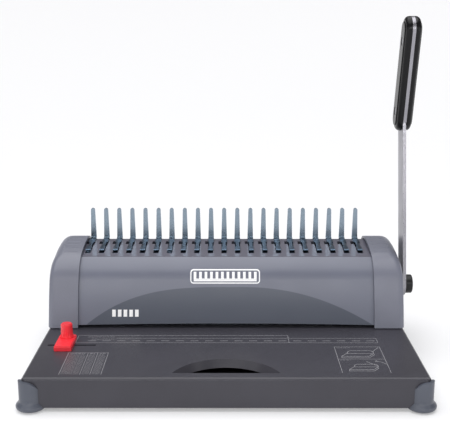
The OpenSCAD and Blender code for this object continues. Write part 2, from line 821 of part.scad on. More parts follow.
module tie_rod() {
    placed() color("#9b9ea3") difference() {
        rod_x(-frame_x0, frame_x0, rod_y, rod_z, rod_d);
        for (s = [-1, 1])
            rod_x(s > 0 ? frame_x0 - 12 : -frame_x0 - 1, s > 0 ? frame_x0 + 1 : -frame_x0 + 12,
                  rod_y, rod_z, 2.8);
    }
}

// Two steel angles that carry the rear cover
module cover_brackets() {
    y1 = rear_wall_y0 - seat;
    placed() color("#9b9ea3") for (s = [-1, 1]) difference() {
        union() {
            block(s * bracket_x - bracket_w / 2, s * bracket_x + bracket_w / 2, y1 - 2.5, y1,
                  tray_top, tray_top + 40);
            block(s * bracket_x - bracket_w / 2, s * bracket_x + bracket_w / 2, y1 - 10.5, y1,
                  tray_top, tray_top + 2.5);
        }
        for (z = [tray_top + 14, tray_top + 34])
            rod_y_axis(y1 - 5, y1 + 1, s * bracket_x, z, 2.8);
        rod_z_axis(tray_top - 1, tray_top + 5, s * bracket_x, bracket_bolt_y, 3.4);
    }
}

module shaft_bushes() {
    placed() color("#a8803f") mirrored() difference() {
        union() {
            rod_x(frame_x0 - 1.2, frame_x1 + 0.5, shaft_y, shaft_z, bush_d - 2 * run_fit);
            rod_x(frame_x0 - 1.2, frame_x0 - seat / 2, shaft_y, shaft_z, bush_d + 4);
        }
        rod_x(frame_x0 - 3, frame_x1 + 3, shaft_y, shaft_z, shaft_d + 2 * run_fit);
    }
}

// Screwed up through the die, the spacers and the guide, and smooth above them
module guide_posts() {
    placed() color("#b4b7bb") for (s = [-1, 1]) {
        rod_z_axis(guide_z1, bar_z1 + 6, s * post_x, punch_y, post_d);
        rod_z_axis(die_z0, guide_z1 + 1, s * post_x, punch_y, 3);
    }
}

// Nylon rails that the opener's side tabs slide in, and that the deck rests on
module opener_rails() {
    placed() color("#d9d9d2") mirrored() difference() {
        intersection() {
            block(rail_x0, frame_x0, rail_y0, rail_y1, opener_z0 - 8, crest_z);
            translate([0, deck_y1, deck_z1]) rotate([deck_slope, 0, 0])
                block(0, half_w, -120, 10, -80, -deck_t - 0.05);
        }
        block(rail_x0 - 1, tab_x + 0.6, rail_y0 - 1, rail_y1 + 1, opener_z0 - 0.15,
              opener_z1 + 0.15);
        for (y = rail_bolt_ys()) rod_x(rail_x0 + 1, frame_x0 + 1, y, rail_bolt_z(), 2.8);
    }
}

module drawer_rails() {
    placed() color("#d9d9d2") for (s = [-1, 1])
        let (y = s < 0 ? drawer_y0 - drawer_gap : drawer_y1 + drawer_gap)
        difference() {
            block(-half_w + base_wall + 3, drawer_x1 + 6, y - 3, y + 3, sheet_z1,
                  drawer_z0 + 5);
            block(-half_w, drawer_x1 + 2, s < 0 ? y : y - 4, s < 0 ? y + 4 : y,
                  drawer_z0 - 0.1, drawer_z0 + 20);
        }
}

// ---------------------------------------------------------------- fasteners

module frame_screws() {
    placed() color("#c2c5c9") {
        for (s = [-1, 1], y = frame_bolt_ys())
            translate([s * bolt_x, y, tray_top + flange_t])
                screw(4, flange_t + (y == punch_y ? die_t : tray_skin + 3));
        for (s = [-1, 1]) translate([s * bracket_x, bracket_bolt_y, tray_top + 2.5])
            screw(3, 8);
    }
}

// Screws that reach out through the side frames, into the rods, rails and caps
module cap_screws() {
    placed() color("#c2c5c9") mirrored() {
        for (p = cap_boss_places()) translate([frame_x0, p[0], p[1]])
            rotate([0, -90, 0]) screw(2.8, 12);
        for (q = concat([[rod_y, rod_z]],
                        [for (z = beam_bolt_zs()) [beam_y0 + beam_d / 2, z]]))
            translate([frame_x1, q[0], q[1]]) rotate([0, 90, 0]) screw(2.8, frame_t + 9);
        for (y = rail_bolt_ys()) translate([frame_x1, y, rail_bolt_z()])
            rotate([0, 90, 0]) screw(2.8, frame_t + 2.6);
    }
}

module rack_screws() {
    placed() color("#c2c5c9") for (x = rack_bolt_xs())
        translate([x, tooth_y, rack_bolt_z()]) rotate([90, 0, 0]) screw(2.8, tooth_t + 5);
}

module cover_screws() {
    placed() color("#c2c5c9") for (s = [-1, 1], z = [tray_top + 14, tray_top + 34])
        translate([s * bracket_x, hood_y1 - rear_step, z]) rotate([-90, 0, 0])
            screw(2.8, hood_wall + 2.4);
}

module spring_at(x) {
    top = bar_z0 + spring_pocket - spring_wire / 2 - 0.1;
    translate([x, punch_y, 0])
        helix(guide_z1 + spring_wire / 2 + 0.1, top, (spring_d - spring_wire) / 2,
              spring_wire, spring_turns);
}

module return_spring_left() { placed() color("#b9bcc0") spring_at(-post_x); }
module return_spring_right() { placed() color("#b9bcc0") spring_at(post_x); }

// ---------------------------------------------------------------- lever

function swing_dir(a) = [sin(a), cos(a)];

// A strip of width w between two points, without its round ends
module strip_2d(p, q, w) {
    d = (q - p) / norm(q - p);
    n = [-d[1], d[0]] * w / 2;
    polygon([p + n, q + n, q - n, p - n]);
}

lever_p0 = [shaft_y, shaft_z];
lever_p1 = lever_p0 + lever_shank * swing_dir(lever_lean);
grip_dir = swing_dir(lever_lean - lever_bend);
lever_p2 = lever_p1 + lever_top * grip_dir;
grip_low = lever_p1 + 4 * grip_dir;
grip_angle = atan2(grip_dir[1], grip_dir[0]);

module lever_bar() {
    placed() color("#a3a2a8") difference() {
        union() {
            along_x(lever_x0, lever_x1) strip_2d(lever_p0, lever_p1, lever_w);
            along_x(lever_x0, lever_x1) strip_2d(lever_p1, grip_low, lever_w);
            for (p = [lever_p0, lever_p1]) rod_x(lever_x0, lever_x1, p[0], p[1], lever_w);
            along_x(lever_x0, lever_x1) strip_2d(grip_low, lever_p2, grip_w);
            rod_x(lever_x0, lever_x1, lever_p2[0], lever_p2[1], grip_w);
        }
        along_x(lever_x0 - 1, lever_x1 + 1) translate(lever_p0) intersection() {
            circle(d = stub_d + 2 * seat);
            square([stub_flat + 2 * seat, stub_d + 1], center = true);
        }
        for (t = rivet_places()) let (p = lever_p1 + t * grip_dir)
            rod_x(lever_x0 - 1, lever_x1 + 1, p[0], p[1], rivet_d + 2 * seat);
    }
}

function rivet_places() = [lever_top * 0.12, lever_top * 0.88];

// One ring of a grip scale at x, its round-ended outline moved inward by inset
function grip_ring(x, inset) =
    [for (c = [[lever_p2, 90], [grip_low, -90]], k = [0 : grip_end_sides])
        let (turn = grip_angle + c[1] - 180 * k / grip_end_sides, r = grip_w / 2 - inset)
        [x, c[0][0] + r * cos(turn), c[0][1] + r * sin(turn)]];

// A scale from its flat back at x = 0 out to x = grip_t, with a rounded edge and a raised face
module grip_scale() {
    rim_x = grip_t - grip_step;
    rounded = [for (turn = [0 : 22.5 : 90])
        grip_ring(rim_x - grip_round * (1 - sin(turn)), grip_round * (1 - cos(turn)))];
    difference() {
        loft(concat([grip_ring(0, 0)], rounded,
                    [grip_ring(rim_x, grip_round + grip_ledge),
                     grip_ring(grip_t - 0.6, grip_round + grip_ledge),
                     grip_ring(grip_t, grip_round + grip_ledge + 0.6)]));
        for (t = rivet_places()) let (p = lever_p1 + t * grip_dir) {
            rod_x(-1, grip_t + 1, p[0], p[1], rivet_d + 2 * seat);
            rod_x(grip_t - 1.5, grip_t + 1, p[0], p[1], rivet_d + 3.4);
        }
    }
}

module grip_inner() {
    placed() color("#141416") translate([lever_x0, 0, 0]) mirror([1, 0, 0]) grip_scale();
}

module grip_outer() { placed() color("#141416") translate([lever_x1, 0, 0]) grip_scale(); }

module grip_rivets() {
    placed() color("#b9bcc0") for (t = rivet_places()) let (p = lever_p1 + t * grip_dir) {
        rod_x(lever_x0 - grip_t + 0.6, lever_x1 + grip_t - 0.6, p[0], p[1], rivet_d);
        for (x = [lever_x0 - grip_t + 0.5, lever_x1 + grip_t - 1.5 + seat])
            rod_x(x, x + 0.9, p[0], p[1], rivet_d + 3);
    }
}

module lever_shaft() {
    placed() color("#b4b7bb") union() {
        rod_x(-frame_x1 - 5, lever_x0 - seat / 2, shaft_y, shaft_z, shaft_d);
        along_x(lever_x0 - 1, lever_x1 - 0.2) translate(lever_p0) intersection() {
            circle(d = stub_d);
            square([stub_flat, stub_d + 1], center = true);
        }
        rod_x(lever_x1 - 1, knob_x1 - 2.5, shaft_y, shaft_z, stud_d);
    }
}

// A point of an involute that starts on a base circle of radius rb
function involute(rb, t) =
    let (k = t * PI / 180) rb * [cos(t) + k * sin(t), sin(t) - k * cos(t)];
function spin(p, a) = [p[0] * cos(a) - p[1] * sin(a), p[0] * sin(a) + p[1] * cos(a)];

// One pinion tooth about the +X direction of its plane
function pinion_tooth(tip_r, root_r) =
    let (rb = gear_r * cos(pressure),
         half = 90 / gear_n - backlash / 4 / gear_r * 180 / PI
                + (tan(pressure) - pressure * PI / 180) * 180 / PI,
         t1 = sqrt(tip_r * tip_r / rb / rb - 1) * 180 / PI,
         side = [for (k = [0 : 6]) spin(involute(rb, t1 * k / 6), -half)])
    concat([[root_r * cos(half) * 0.96, -root_r * sin(half)]], side,
           [for (k = [6 : -1 : 0]) [side[k][0], -side[k][1]]],
           [[root_r * cos(half) * 0.96, root_r * sin(half)]]);

module pinion_2d() {
    tip_r = gear_r + 0.95 * gear_m;
    root_r = gear_r - 1.25 * gear_m;
    circle(root_r);
    for (k = [0 : gear_n - 1]) rotate(k * 360 / gear_n + 180) polygon(pinion_tooth(tip_r, root_r));
}

module pinion(x0, x1) {
    difference() {
        along_x(x0, x1) translate(lever_p0) pinion_2d();
        rod_x(x0 - 1, x1 + 1, shaft_y, shaft_z, shaft_d);
    }
}

module pinion_left() { placed() color("#8f8b84") pinion(-pinion_x1, -pinion_x0); }
module pinion_right() { placed() color("#8f8b84") pinion(pinion_x0, pinion_x1); }

// Rack outline: pitch line on the horizontal axis, teeth pointing down, one gap at x = phase
module rack_2d(x0, x1, phase) {
    gap = PI * gear_m;
    half_root = gap / 4 - backlash / 4;
    add = 0.95 * gear_m;
    ded = 1.2 * gear_m;
    translate([x0, ded]) square([x1 - x0, rack_back]);
    first = ceil((x0 + gap - phase) / gap - 0.5);
    last = floor((x1 - gap - phase) / gap - 0.5);
    for (k = [first : last]) translate([phase + (k + 0.5) * gap, 0])
        polygon([[-half_root - ded * tan(pressure), ded + eps],
                 [-half_root + add * tan(pressure), -add],
                 [half_root - add * tan(pressure), -add],
                 [half_root + ded * tan(pressure), ded + eps]]);
}

module lever_washer() {
    placed() color("#c2c5c9") difference() {
        rod_x(half_w + 0.6, lever_x0 - 0.05, shaft_y, shaft_z, 16);
        rod_x(half_w, lever_x0 + 1, shaft_y, shaft_z, shaft_d + 2 * seat);
    }
}

module lever_knob() {
    placed() color("#17171a") difference() {
        translate([lever_x1, shaft_y, shaft_z]) rotate([0, 90, 0]) rotate_extrude($fn = 64) {
            square([knob_d / 2 - 1.5, knob_h]);
            square([knob_d / 2, knob_h - 1.5]);
            translate([knob_d / 2 - 1.5, knob_h - 1.5]) circle(1.5, $fn = 24);
        }
        rod_x(lever_x1 - 1, knob_x1 - 2.4, shaft_y, shaft_z, stud_d);
    }
}

// Rings that keep the shaft from sliding, one outside each frame
module shaft_rings() {
    placed() color("#8e9196") for (x = [-frame_x1 - 2.5, frame_x1 + 1]) difference() {
        rod_x(x, x + 1.5, shaft_y, shaft_z, shaft_d + 5);
        rod_x(x - 1, x + 3, shaft_y, shaft_z, shaft_d);
    }
}

// ---------------------------------------------------------------- punch

module punch_bar() {
    end_x = die_x;
    placed() color("#9fa2a7") difference() {
        block(-end_x, end_x, bar_y0, bar_y1, bar_z0, bar_z1);
        punch_row(bar_z0 - 1, bar_z0 + pin_grip, 0);
        for (s = [-1, 1]) {
            rod_z_axis(bar_z0 - 1, bar_z1 + 1, s * post_x, punch_y, post_d + 2 * run_fit);
            rod_z_axis(bar_z0 - 1, bar_z0 + spring_pocket, s * post_x, punch_y, spring_d + 1);
        }
    }
}

module punch_pins() { placed() color("#c7cacd") punch_row(pin_z0, bar_z0 + pin_grip, 0); }

// An upright rack on the back of the punch bar, its teeth toward the pinion
module punch_rack(x0, x1) {
    z0 = bar_z0 + 1;
    z1 = shaft_z + stroke + 7;
    y_line = shaft_y - gear_r;
    along_x(x0, x1) translate([y_line, shaft_z]) rotate(90)
        rack_2d(z0 - shaft_z, z1 - shaft_z, 0);
    block(x0, x1, bar_y1, y_line - 1.2 * gear_m - 1, z0, bar_z1);
}

module punch_rack_left() {
    placed() color("#8f8b84") punch_rack(-punch_rack_x1, -punch_rack_x0);
}
module punch_rack_right() {
    placed() color("#8f8b84") punch_rack(punch_rack_x0, punch_rack_x1);
}

// ---------------------------------------------------------------- comb opener

// A hook seen from above: a neck and a wide round head behind y = 0, where its foot goes down, and
// a short lip before it
module hook_2d() {
    head_r = hook_head_w / 2;
    translate([-hook_foot_w / 2, -hook_lip]) square([hook_foot_w, 5 + hook_lip]);
    translate([-hook_neck_w / 2, 0]) square([hook_neck_w, hook_len - head_r]);
    translate([-head_r, hook_len - 12]) square([hook_head_w, 12 - head_r]);
    translate([0, hook_len - head_r]) circle(head_r);
}

module opener_plate() {
    y_back = hook_y0 - deck_y1;
    placed() color("#5d6b7c") union() {
        block(-opener_rack_x1, opener_rack_x1, opener_y0, opener_y1, opener_z0, opener_z1);
        block(-tab_x, tab_x, opener_y0 + 4, opener_y0 + 20, opener_z0, opener_z1);
        for (i = [0 : hole_n - 1]) {
            on_deck(hook_lift) translate([tooth_x(i), y_back, 0]) {
                linear_extrude(hook_t) hook_2d();
                // the lip's rolled edge, which lets comb rings slide over it
                translate([-hook_foot_w / 2, -hook_lip, hook_roll_d / 2]) rotate([0, 90, 0])
                    cylinder(h = hook_foot_w, d = hook_roll_d);
            }
            block(tooth_x(i) - hook_foot_w / 2, tooth_x(i) + hook_foot_w / 2, hook_y0,
                  hook_y0 + hook_foot_l, opener_z0, deck_z(hook_y0) + hook_lift + 1);
        }
    }
}

// A bracket that hangs from the opener's plate and ends in a rack above the pinion
module opener_rack(x0, x1) {
    z_line = shaft_z + gear_r;
    rack_y0 = shaft_y - 9;
    rack_y1 = shaft_y + stroke + 9;
    rack_z1 = z_line + 1.2 * gear_m + rack_back;
    along_x(x0, x1) translate([shaft_y, z_line])
        rack_2d(rack_y0 - shaft_y, rack_y1 - shaft_y, gear_phase());
    block(x0, x1, opener_y0 + 2, rack_y1, rack_z1 - 1, opener_z0);
}

// A pinion tooth points straight up only when the tooth number divides by four
function gear_phase() = -PI * gear_m / 4 * (gear_n % 4);

module opener_rack_left() {
    placed() color("#8f8b84") opener_rack(-opener_rack_x1, -opener_rack_x0);
}
module opener_rack_right() {
    placed() color("#8f8b84") opener_rack(opener_rack_x0, opener_rack_x1);
}

// ---------------------------------------------------------------- edge guide

module edge_guide() {
    placed() color("#dd3a44") difference() {
        translate([edge_x, edge_y, tray_top + 0.05]) union() {
            linear_extrude(edge_h - 1) round_rect(edge_w, edge_d, 1.2);
            linear_extrude(edge_h) round_rect(edge_w - 1.4, edge_d - 1.4, 1);
            translate([0, 0, -tray_skin - 0.2]) linear_extrude(tray_skin + 0.4)
                round_rect(key_l, edge_slot_w - 0.4, edge_slot_w / 2 - 0.2 - eps);
        }
        rod_z_axis(tray_top - 1, tray_top + edge_h + 1, edge_x, edge_knob_y, 5 + 2 * run_fit);
    }
}

// The plate under the tray that keeps the edge guide down
module edge_guide_key() {
    top = tray_top - tray_skin - 0.15;
    placed() color("#2b2b2e") block(edge_x - 8, edge_x + 8, edge_y - 7, edge_y + 7, top - 2, top);
}

module edge_guide_knob() {
    z0 = tray_top + 0.05 + edge_h;
    placed() color("#e2404a") translate([edge_x, edge_knob_y, 0]) {
        translate([0, 0, tray_top + 0.3]) cylinder(h = edge_h + 0.5, d = 5);
        translate([0, 0, z0 + 0.1]) difference() {
            union() {
                cylinder(h = 1.2, d = edge_knob_d + 1.6);
                cylinder(h = edge_knob_h - 1, r1 = edge_knob_d / 2, r2 = edge_knob_d / 2 - 0.4);
                cylinder(h = edge_knob_h, r = edge_knob_d / 2 - 1.2);
            }
            for (k = [0 : 17]) rotate(k * 20) translate([edge_knob_d / 2 + 0.1, 0, 1.8])
                cylinder(h = edge_knob_h, r = 0.55, $fn = 16);
        }
    }
}

// ---------------------------------------------------------------- chip drawer

module chip_drawer() {
    w = drawer_wall;
    placed() color("#3a3a3f") difference() {
        union() {
            block(drawer_x0 + 1, drawer_x1, drawer_y0, drawer_y1, drawer_z0, drawer_z1);
            block(drawer_x0, drawer_x0 + 3, drawer_y0, drawer_y1, drawer_z0, drawer_z1);
        }
        block(drawer_x0 + 3, drawer_x1 - w, drawer_y0 + w, drawer_y1 - w, drawer_z0 + w,
              drawer_z1 + 1);
        // finger hollow in the drawer's face
        translate([drawer_x0 - 4, (drawer_y0 + drawer_y1) / 2, drawer_z0 + 9])
            cylinder(h = 30, d = 22);
        block(drawer_x0 - 1, drawer_x0 + 1, drawer_y0 + 8, drawer_y1 - 8, drawer_z0 + 9,
              drawer_z1 - 2);
    }
}

base_tray();
bottom_plate();
foot_front_left();
foot_front_right();
foot_rear_left();
foot_rear_right();
foot_pads();
foot_screws();
front_cover();
deck_plate();
rear_cover();
end_cap_left();
end_cap_right();
side_frame_left();
side_frame_right();
die_plate();
punch_guide();
guide_spacers();
paper_stop();
comb_rack();
rack_beam();
tie_rod();
cover_brackets();
shaft_bushes();
guide_posts();
opener_rails();
drawer_rails();
frame_screws();
cap_screws();
rack_screws();
cover_screws();
return_spring_left();
return_spring_right();
lever_bar();
grip_inner();
grip_outer();
grip_rivets();
lever_shaft();
pinion_left();
pinion_right();
lever_washer();
lever_knob();
shaft_rings();
punch_bar();
punch_pins();
punch_rack_left();
punch_rack_right();
opener_plate();
opener_rack_left();
opener_rack_right();
edge_guide();
edge_guide_key();
edge_guide_knob();
chip_drawer();
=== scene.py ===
"""Looks of a desktop comb binding machine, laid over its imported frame.

The machine has a shallow moulded base with corner feet, an enamelled hood between two end caps, a row
of comb teeth and hooks on the hood's deck, a bent hand lever and a red edge guide. Everything is in
metres in the frame's own axes; sizes below that end in _mm are millimetres.
"""
import math

import bmesh
import bpy
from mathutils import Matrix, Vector
from mathutils.bvhtree import BVHTree


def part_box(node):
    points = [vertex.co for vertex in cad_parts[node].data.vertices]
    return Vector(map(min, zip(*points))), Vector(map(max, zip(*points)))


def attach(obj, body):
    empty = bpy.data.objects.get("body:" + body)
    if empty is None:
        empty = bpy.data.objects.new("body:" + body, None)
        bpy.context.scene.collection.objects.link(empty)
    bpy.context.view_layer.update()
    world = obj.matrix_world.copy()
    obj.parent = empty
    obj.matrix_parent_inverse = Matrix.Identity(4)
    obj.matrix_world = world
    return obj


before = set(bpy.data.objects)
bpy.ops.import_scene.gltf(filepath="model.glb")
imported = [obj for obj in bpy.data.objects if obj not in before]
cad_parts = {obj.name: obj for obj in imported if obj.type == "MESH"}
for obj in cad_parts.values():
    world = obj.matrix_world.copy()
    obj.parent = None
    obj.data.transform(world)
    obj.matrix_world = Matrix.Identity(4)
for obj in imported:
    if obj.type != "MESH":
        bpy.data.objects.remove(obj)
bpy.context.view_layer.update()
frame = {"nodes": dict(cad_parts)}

bl_info = {
    "name": "Comb Binding Machine",
    "version": (1, 0, 0),
    "blender": (4, 5, 0),
    "location": "View3D > Sidebar > Binder",
    "description": "Materials, printed marks and studio for a desktop comb binding machine",
    "category": "Object",
}

MM = 0.001
HOLE_PITCH_MM = 14.2875  # nine sixteenths of an inch, the standard pitch of binding combs
INK_SINK_MM = -0.04  # how far a printed film reaches into the surface below it
SHARP = math.radians(32)  # edges that turn by more than this are broken and kept crisp
WELD_MM = 0.002  # loose facets closer than this are joined
EDGE_SEGMENTS = 3  # flats across a broken edge


# ---------------------------------------------------------------- colour and nodes

# The Mix node's colour sockets, which share their names with its number and vector sockets
MIX_FROM, MIX_TO, MIX_RESULT = 6, 7, 2


def linear(code):
    """An sRGB hex colour as linear red, green, blue and alpha."""
    parts = [int(code[i : i + 2], 16) / 255 for i in (1, 3, 5)]
    return tuple(p / 12.92 if p <= 0.04045 else ((p + 0.055) / 1.055) ** 2.4 for p in parts) + (1.0,)


def shade(colour, factor):
    """A linear colour, lighter or darker by a factor."""
    return (colour[0] * factor, colour[1] * factor, colour[2] * factor, 1.0)


def colour_property(name, description, code):
    """A colour that the sidebar shows, with its default given as sRGB hex."""
    return bpy.props.FloatVectorProperty(
        name=name, description=description, subtype="COLOR", size=3, min=0, max=1, default=linear(code)[:3]
    )


def add(material, kind, fields=(), sockets=(), links=()):
    """Adds one shader node, with its fields, its socket values and the outputs its inputs come from."""
    tree = material.node_tree
    node = tree.nodes.new(kind)
    for name, value in dict(fields).items():
        setattr(node, name, value)
    for name, value in dict(sockets).items():
        node.inputs[name].default_value = value
    for name, source in dict(links).items():
        tree.links.new(source, node.inputs[name])
    return node


def new_material(name, colour, **sockets):
    """A material with one shader, whose even values are set on the shader's own sockets."""
    material = bpy.data.materials.new(name)
    material.use_nodes = True
    shader = material.node_tree.nodes["Principled BSDF"]
    shader.inputs["Base Color"].default_value = colour
    for key, value in sockets.items():
        shader.inputs[key.replace("_", " ")].default_value = value
    return material, shader


def surface_noise(material, size_mm, detail=2.0, stretch=(1, 1, 1)):
    """A noise whose grains are size_mm across, drawn out along an axis by a stretch under 1."""
    place = add(material, "ShaderNodeTexCoord")
    scale = add(
        material, "ShaderNodeMapping", sockets={"Scale": stretch}, links={"Vector": place.outputs["Object"]}
    )
    return add(
        material,
        "ShaderNodeTexNoise",
        sockets={"Scale": 1 / (size_mm * MM), "Detail": detail},
        links={"Vector": scale.outputs["Vector"]},
    ).outputs["Fac"]


def spread(material, source, low, high, edge=(0.35, 0.65)):
    """A noise turned into values from low to high."""
    sockets = {"From Min": edge[0], "From Max": edge[1], "To Min": low, "To Max": high}
    return add(material, "ShaderNodeMapRange", sockets=sockets, links={"Value": source}).outputs["Result"]


def join(material, source, shader, socket):
    """Links one output to a socket of the shader."""
    material.node_tree.links.new(source, shader.inputs[socket])


def add_bump(material, shader, source, depth_mm):
    """Raises and lowers the surface's shading by depth_mm, as a pattern says."""
    sockets = {"Strength": 1.0, "Distance": depth_mm * MM}
    bump = add(material, "ShaderNodeBump", sockets=sockets, links={"Height": source})
    join(material, bump.outputs["Normal"], shader, "Normal")


def add_tone(material, shader, source, dark, light):
    """Lets the colour wander between two close shades."""
    factor = spread(material, source, 0.0, 1.0)
    mix = add(material, "ShaderNodeMix", fields={"data_type": "RGBA"}, links={0: factor})
    mix.inputs[MIX_FROM].default_value = dark
    mix.inputs[MIX_TO].default_value = light
    join(material, mix.outputs[MIX_RESULT], shader, "Base Color")


# ---------------------------------------------------------------- materials


def moulded_plastic(name, colour, roughness, grain_depth_mm=0.004, gloss=0.5):
    """Injection moulded ABS: the mould's fine texture breaks the gloss into a soft sheen, and the
    colour is even apart from slight clouding where the melt flowed."""
    material, shader = new_material(
        name, colour, Roughness=roughness, IOR=1.53, Specular_IOR_Level=gloss
    )
    clouds = surface_noise(material, 45, detail=3)
    add_tone(material, shader, clouds, shade(colour, 0.95), shade(colour, 1.05))
    handling = surface_noise(material, 28, detail=4)
    join(material, spread(material, handling, roughness * 0.9, roughness * 1.12), shader, "Roughness")
    add_bump(material, shader, surface_noise(material, 0.6, detail=1), grain_depth_mm)
    return material


def stoved_enamel(name, colour, roughness):
    """Stoved enamel on pressed sheet steel: smooth, with the faint orange peel that sprayed paint
    keeps, so a lamp's reflection has a slightly soft edge."""
    material, shader = new_material(name, colour, Roughness=roughness, IOR=1.5)
    peel = surface_noise(material, 2.2, detail=1)
    add_bump(material, shader, peel, 0.01)
    patches = surface_noise(material, 40, detail=3)
    join(material, spread(material, patches, roughness * 0.92, roughness * 1.1), shader, "Roughness")
    add_tone(material, shader, surface_noise(material, 60), shade(colour, 0.97), shade(colour, 1.03))
    return material


def two_tone_enamel(colour, band_colour, roughness, band):
    """The front cover's enamel, with a darker second coat masked off below a long low arch."""
    material = stoved_enamel("stoved_enamel_two_tone", colour, roughness)
    shader = material.node_tree.nodes["Principled BSDF"]
    upper = shader.inputs["Base Color"].links[0].from_socket
    place = add(material, "ShaderNodeTexCoord")
    split = add(material, "ShaderNodeSeparateXYZ", links={"Vector": place.outputs["Object"]})
    reach = band.reach_mm * MM
    across = add(
        material,
        "ShaderNodeMapRange",
        sockets={"From Min": -reach, "From Max": reach, "To Min": 0.0, "To Max": 1.0},
        links={"Value": split.outputs["X"]},
    )
    arch = add(material, "ShaderNodeFloatCurve", links={"Value": across.outputs["Result"]})
    line = arch.mapping.curves[0]
    steps, full_mm = 24, 100  # points along the curve, and the height that its value 1 stands for
    spots = [(2 * i / steps - 1) * band.reach_mm for i in range(steps + 1)]
    heights = [band.height(x_mm) / full_mm for x_mm in spots]
    line.points[0].location = (0, heights[0])
    line.points[1].location = (1, heights[-1])
    for i in range(1, steps):
        line.points.new(i / steps, heights[i])
    arch.mapping.update()
    top = add(
        material, "ShaderNodeMath", fields={"operation": "MULTIPLY"}, links={0: arch.outputs["Value"]}
    )
    top.inputs[1].default_value = full_mm * MM
    above = add(
        material,
        "ShaderNodeMath",
        fields={"operation": "SUBTRACT"},
        links={0: split.outputs["Z"], 1: top.outputs[0]},
    )
    soft = 0.2 * MM  # half the width over which the masked edge fades
    edge = add(
        material,
        "ShaderNodeMapRange",
        sockets={"From Min": -soft, "From Max": soft, "To Min": 0.0, "To Max": 1.0},
        links={"Value": above.outputs[0]},
    )
    links = {0: edge.outputs["Result"], MIX_TO: upper}
    mix = add(material, "ShaderNodeMix", fields={"data_type": "RGBA"}, links=links)
    mix.inputs[MIX_FROM].default_value = band_colour
    join(material, mix.outputs[MIX_RESULT], shader, "Base Color")
    return material


def brushed_steel(name, colour, roughness, along, line_mm=0.5, depth_mm=0.004):
    """Steel strip finished on a belt: fine parallel scratches along the strip, drawn coarser here
    than the real grit so that they show, stretch every highlight across the grain."""
    material, shader = new_material(name, colour, Metallic=1.0, Roughness=roughness)
    stretch = [1.0, 1.0, 1.0]
    stretch["XYZ".index(along)] = 0.02
    scratches = surface_noise(material, line_mm, detail=3, stretch=stretch)
    add_bump(material, shader, scratches, depth_mm)
    join(material, spread(material, scratches, roughness * 0.8, roughness * 1.25), shader, "Roughness")
    add_tone(material, shader, surface_noise(material, 25), shade(colour, 0.9), shade(colour, 1.06))
    return material


def plated_steel(name, colour, roughness, spangle_mm=14.0, cloud=0.06):
    """Steel with a bright zinc plating: cool in colour and a little cloudy from the bath."""
    material, shader = new_material(name, colour, Metallic=1.0, Roughness=roughness)
    clouds = surface_noise(material, spangle_mm, detail=4)
    add_tone(material, shader, clouds, shade(colour, 1 - cloud), shade(colour, 1 + cloud))
    join(material, spread(material, clouds, roughness * 0.9, roughness * 1.15), shader, "Roughness")
    add_bump(material, shader, surface_noise(material, 0.6), 0.0012)
    return material


def sintered_steel(colour):
    """Pressed and sintered gears and racks: grey, with fine open pores that kill the shine."""
    material, shader = new_material("sintered_steel", colour, Metallic=1.0, Roughness=0.5)
    pores = surface_noise(material, 0.5, detail=4)
    add_bump(material, shader, pores, 0.03)
    add_tone(material, shader, surface_noise(material, 5, detail=4), shade(colour, 0.75), shade(colour, 1.1))
    return material


def oilite_bronze():
    """Oil-filled sintered bronze bushes: warm brown, dull, and darker where the oil has come out."""
    colour = linear("#a2783c")
    material, shader = new_material("oilite_bronze", colour, Metallic=1.0, Roughness=0.42)
    add_tone(material, shader, surface_noise(material, 3, detail=4), shade(colour, 0.6), shade(colour, 1.1))
    add_bump(material, shader, surface_noise(material, 0.5, detail=3), 0.02)
    return material


def moulded_rubber():
    """Moulded rubber pads: near black, with no gloss and a dusty bloom."""
    colour = linear("#1b1b1d")
    material, shader = new_material("moulded_rubber", colour, Roughness=0.85, IOR=1.52)
    add_tone(material, shader, surface_noise(material, 4, detail=5), colour, linear("#29292b"))
    add_bump(material, shader, surface_noise(material, 0.6, detail=3), 0.03)
    return material


def natural_nylon():
    """Natural nylon slides: milky and waxy, so light goes a little way in."""
    colour = linear("#d9d7cb")
    material, shader = new_material(
        "natural_nylon", colour, Roughness=0.38, IOR=1.53, Subsurface_Weight=0.2, Subsurface_Scale=0.002
    )
    add_tone(material, shader, surface_noise(material, 12), shade(colour, 0.94), shade(colour, 1.02))
    return material


def black_sheet_and_hole_shade():
    """Steel sheet with a thin dipped black paint: flat, and a little uneven. Seen down the tray's hand hole,
    the bottom plate's near black is also painted shade for the dark inside of the hole.
    """
    colour = linear("#242426")
    material, shader = new_material("dipped_black_sheet_and_hole_shade", colour, Roughness=0.55, IOR=1.5)
    add_tone(material, shader, surface_noise(material, 18, detail=4), shade(colour, 0.8), shade(colour, 1.2))
    add_bump(material, shader, surface_noise(material, 1.5, detail=2), 0.015)
    return material


def screen_ink(name, colour, worn):
    """Screen printed ink: a flat film with a slightly ragged, thin spot here and there."""
    material, shader = new_material(name, colour, Roughness=0.5, IOR=1.5)
    thin = surface_noise(material, 0.9, detail=3)
    add_tone(material, shader, thin, shade(colour, worn), colour)
    return material


def light_table(colour, glow):
    """The opal acrylic light table under the machine: pale and even, and lit a little from beneath,
    so that it stays white and shadows on it stay faint."""
    white = (1, 1, 1, 1)
    material, shader = new_material(
        "opal_light_table", colour, Roughness=0.9, Specular_IOR_Level=0.2,
        Emission_Color=white, Emission_Strength=glow,
    )
    add_bump(material, shader, surface_noise(material, 1.5), 0.01)
    return material


# ---------------------------------------------------------------- shared builders


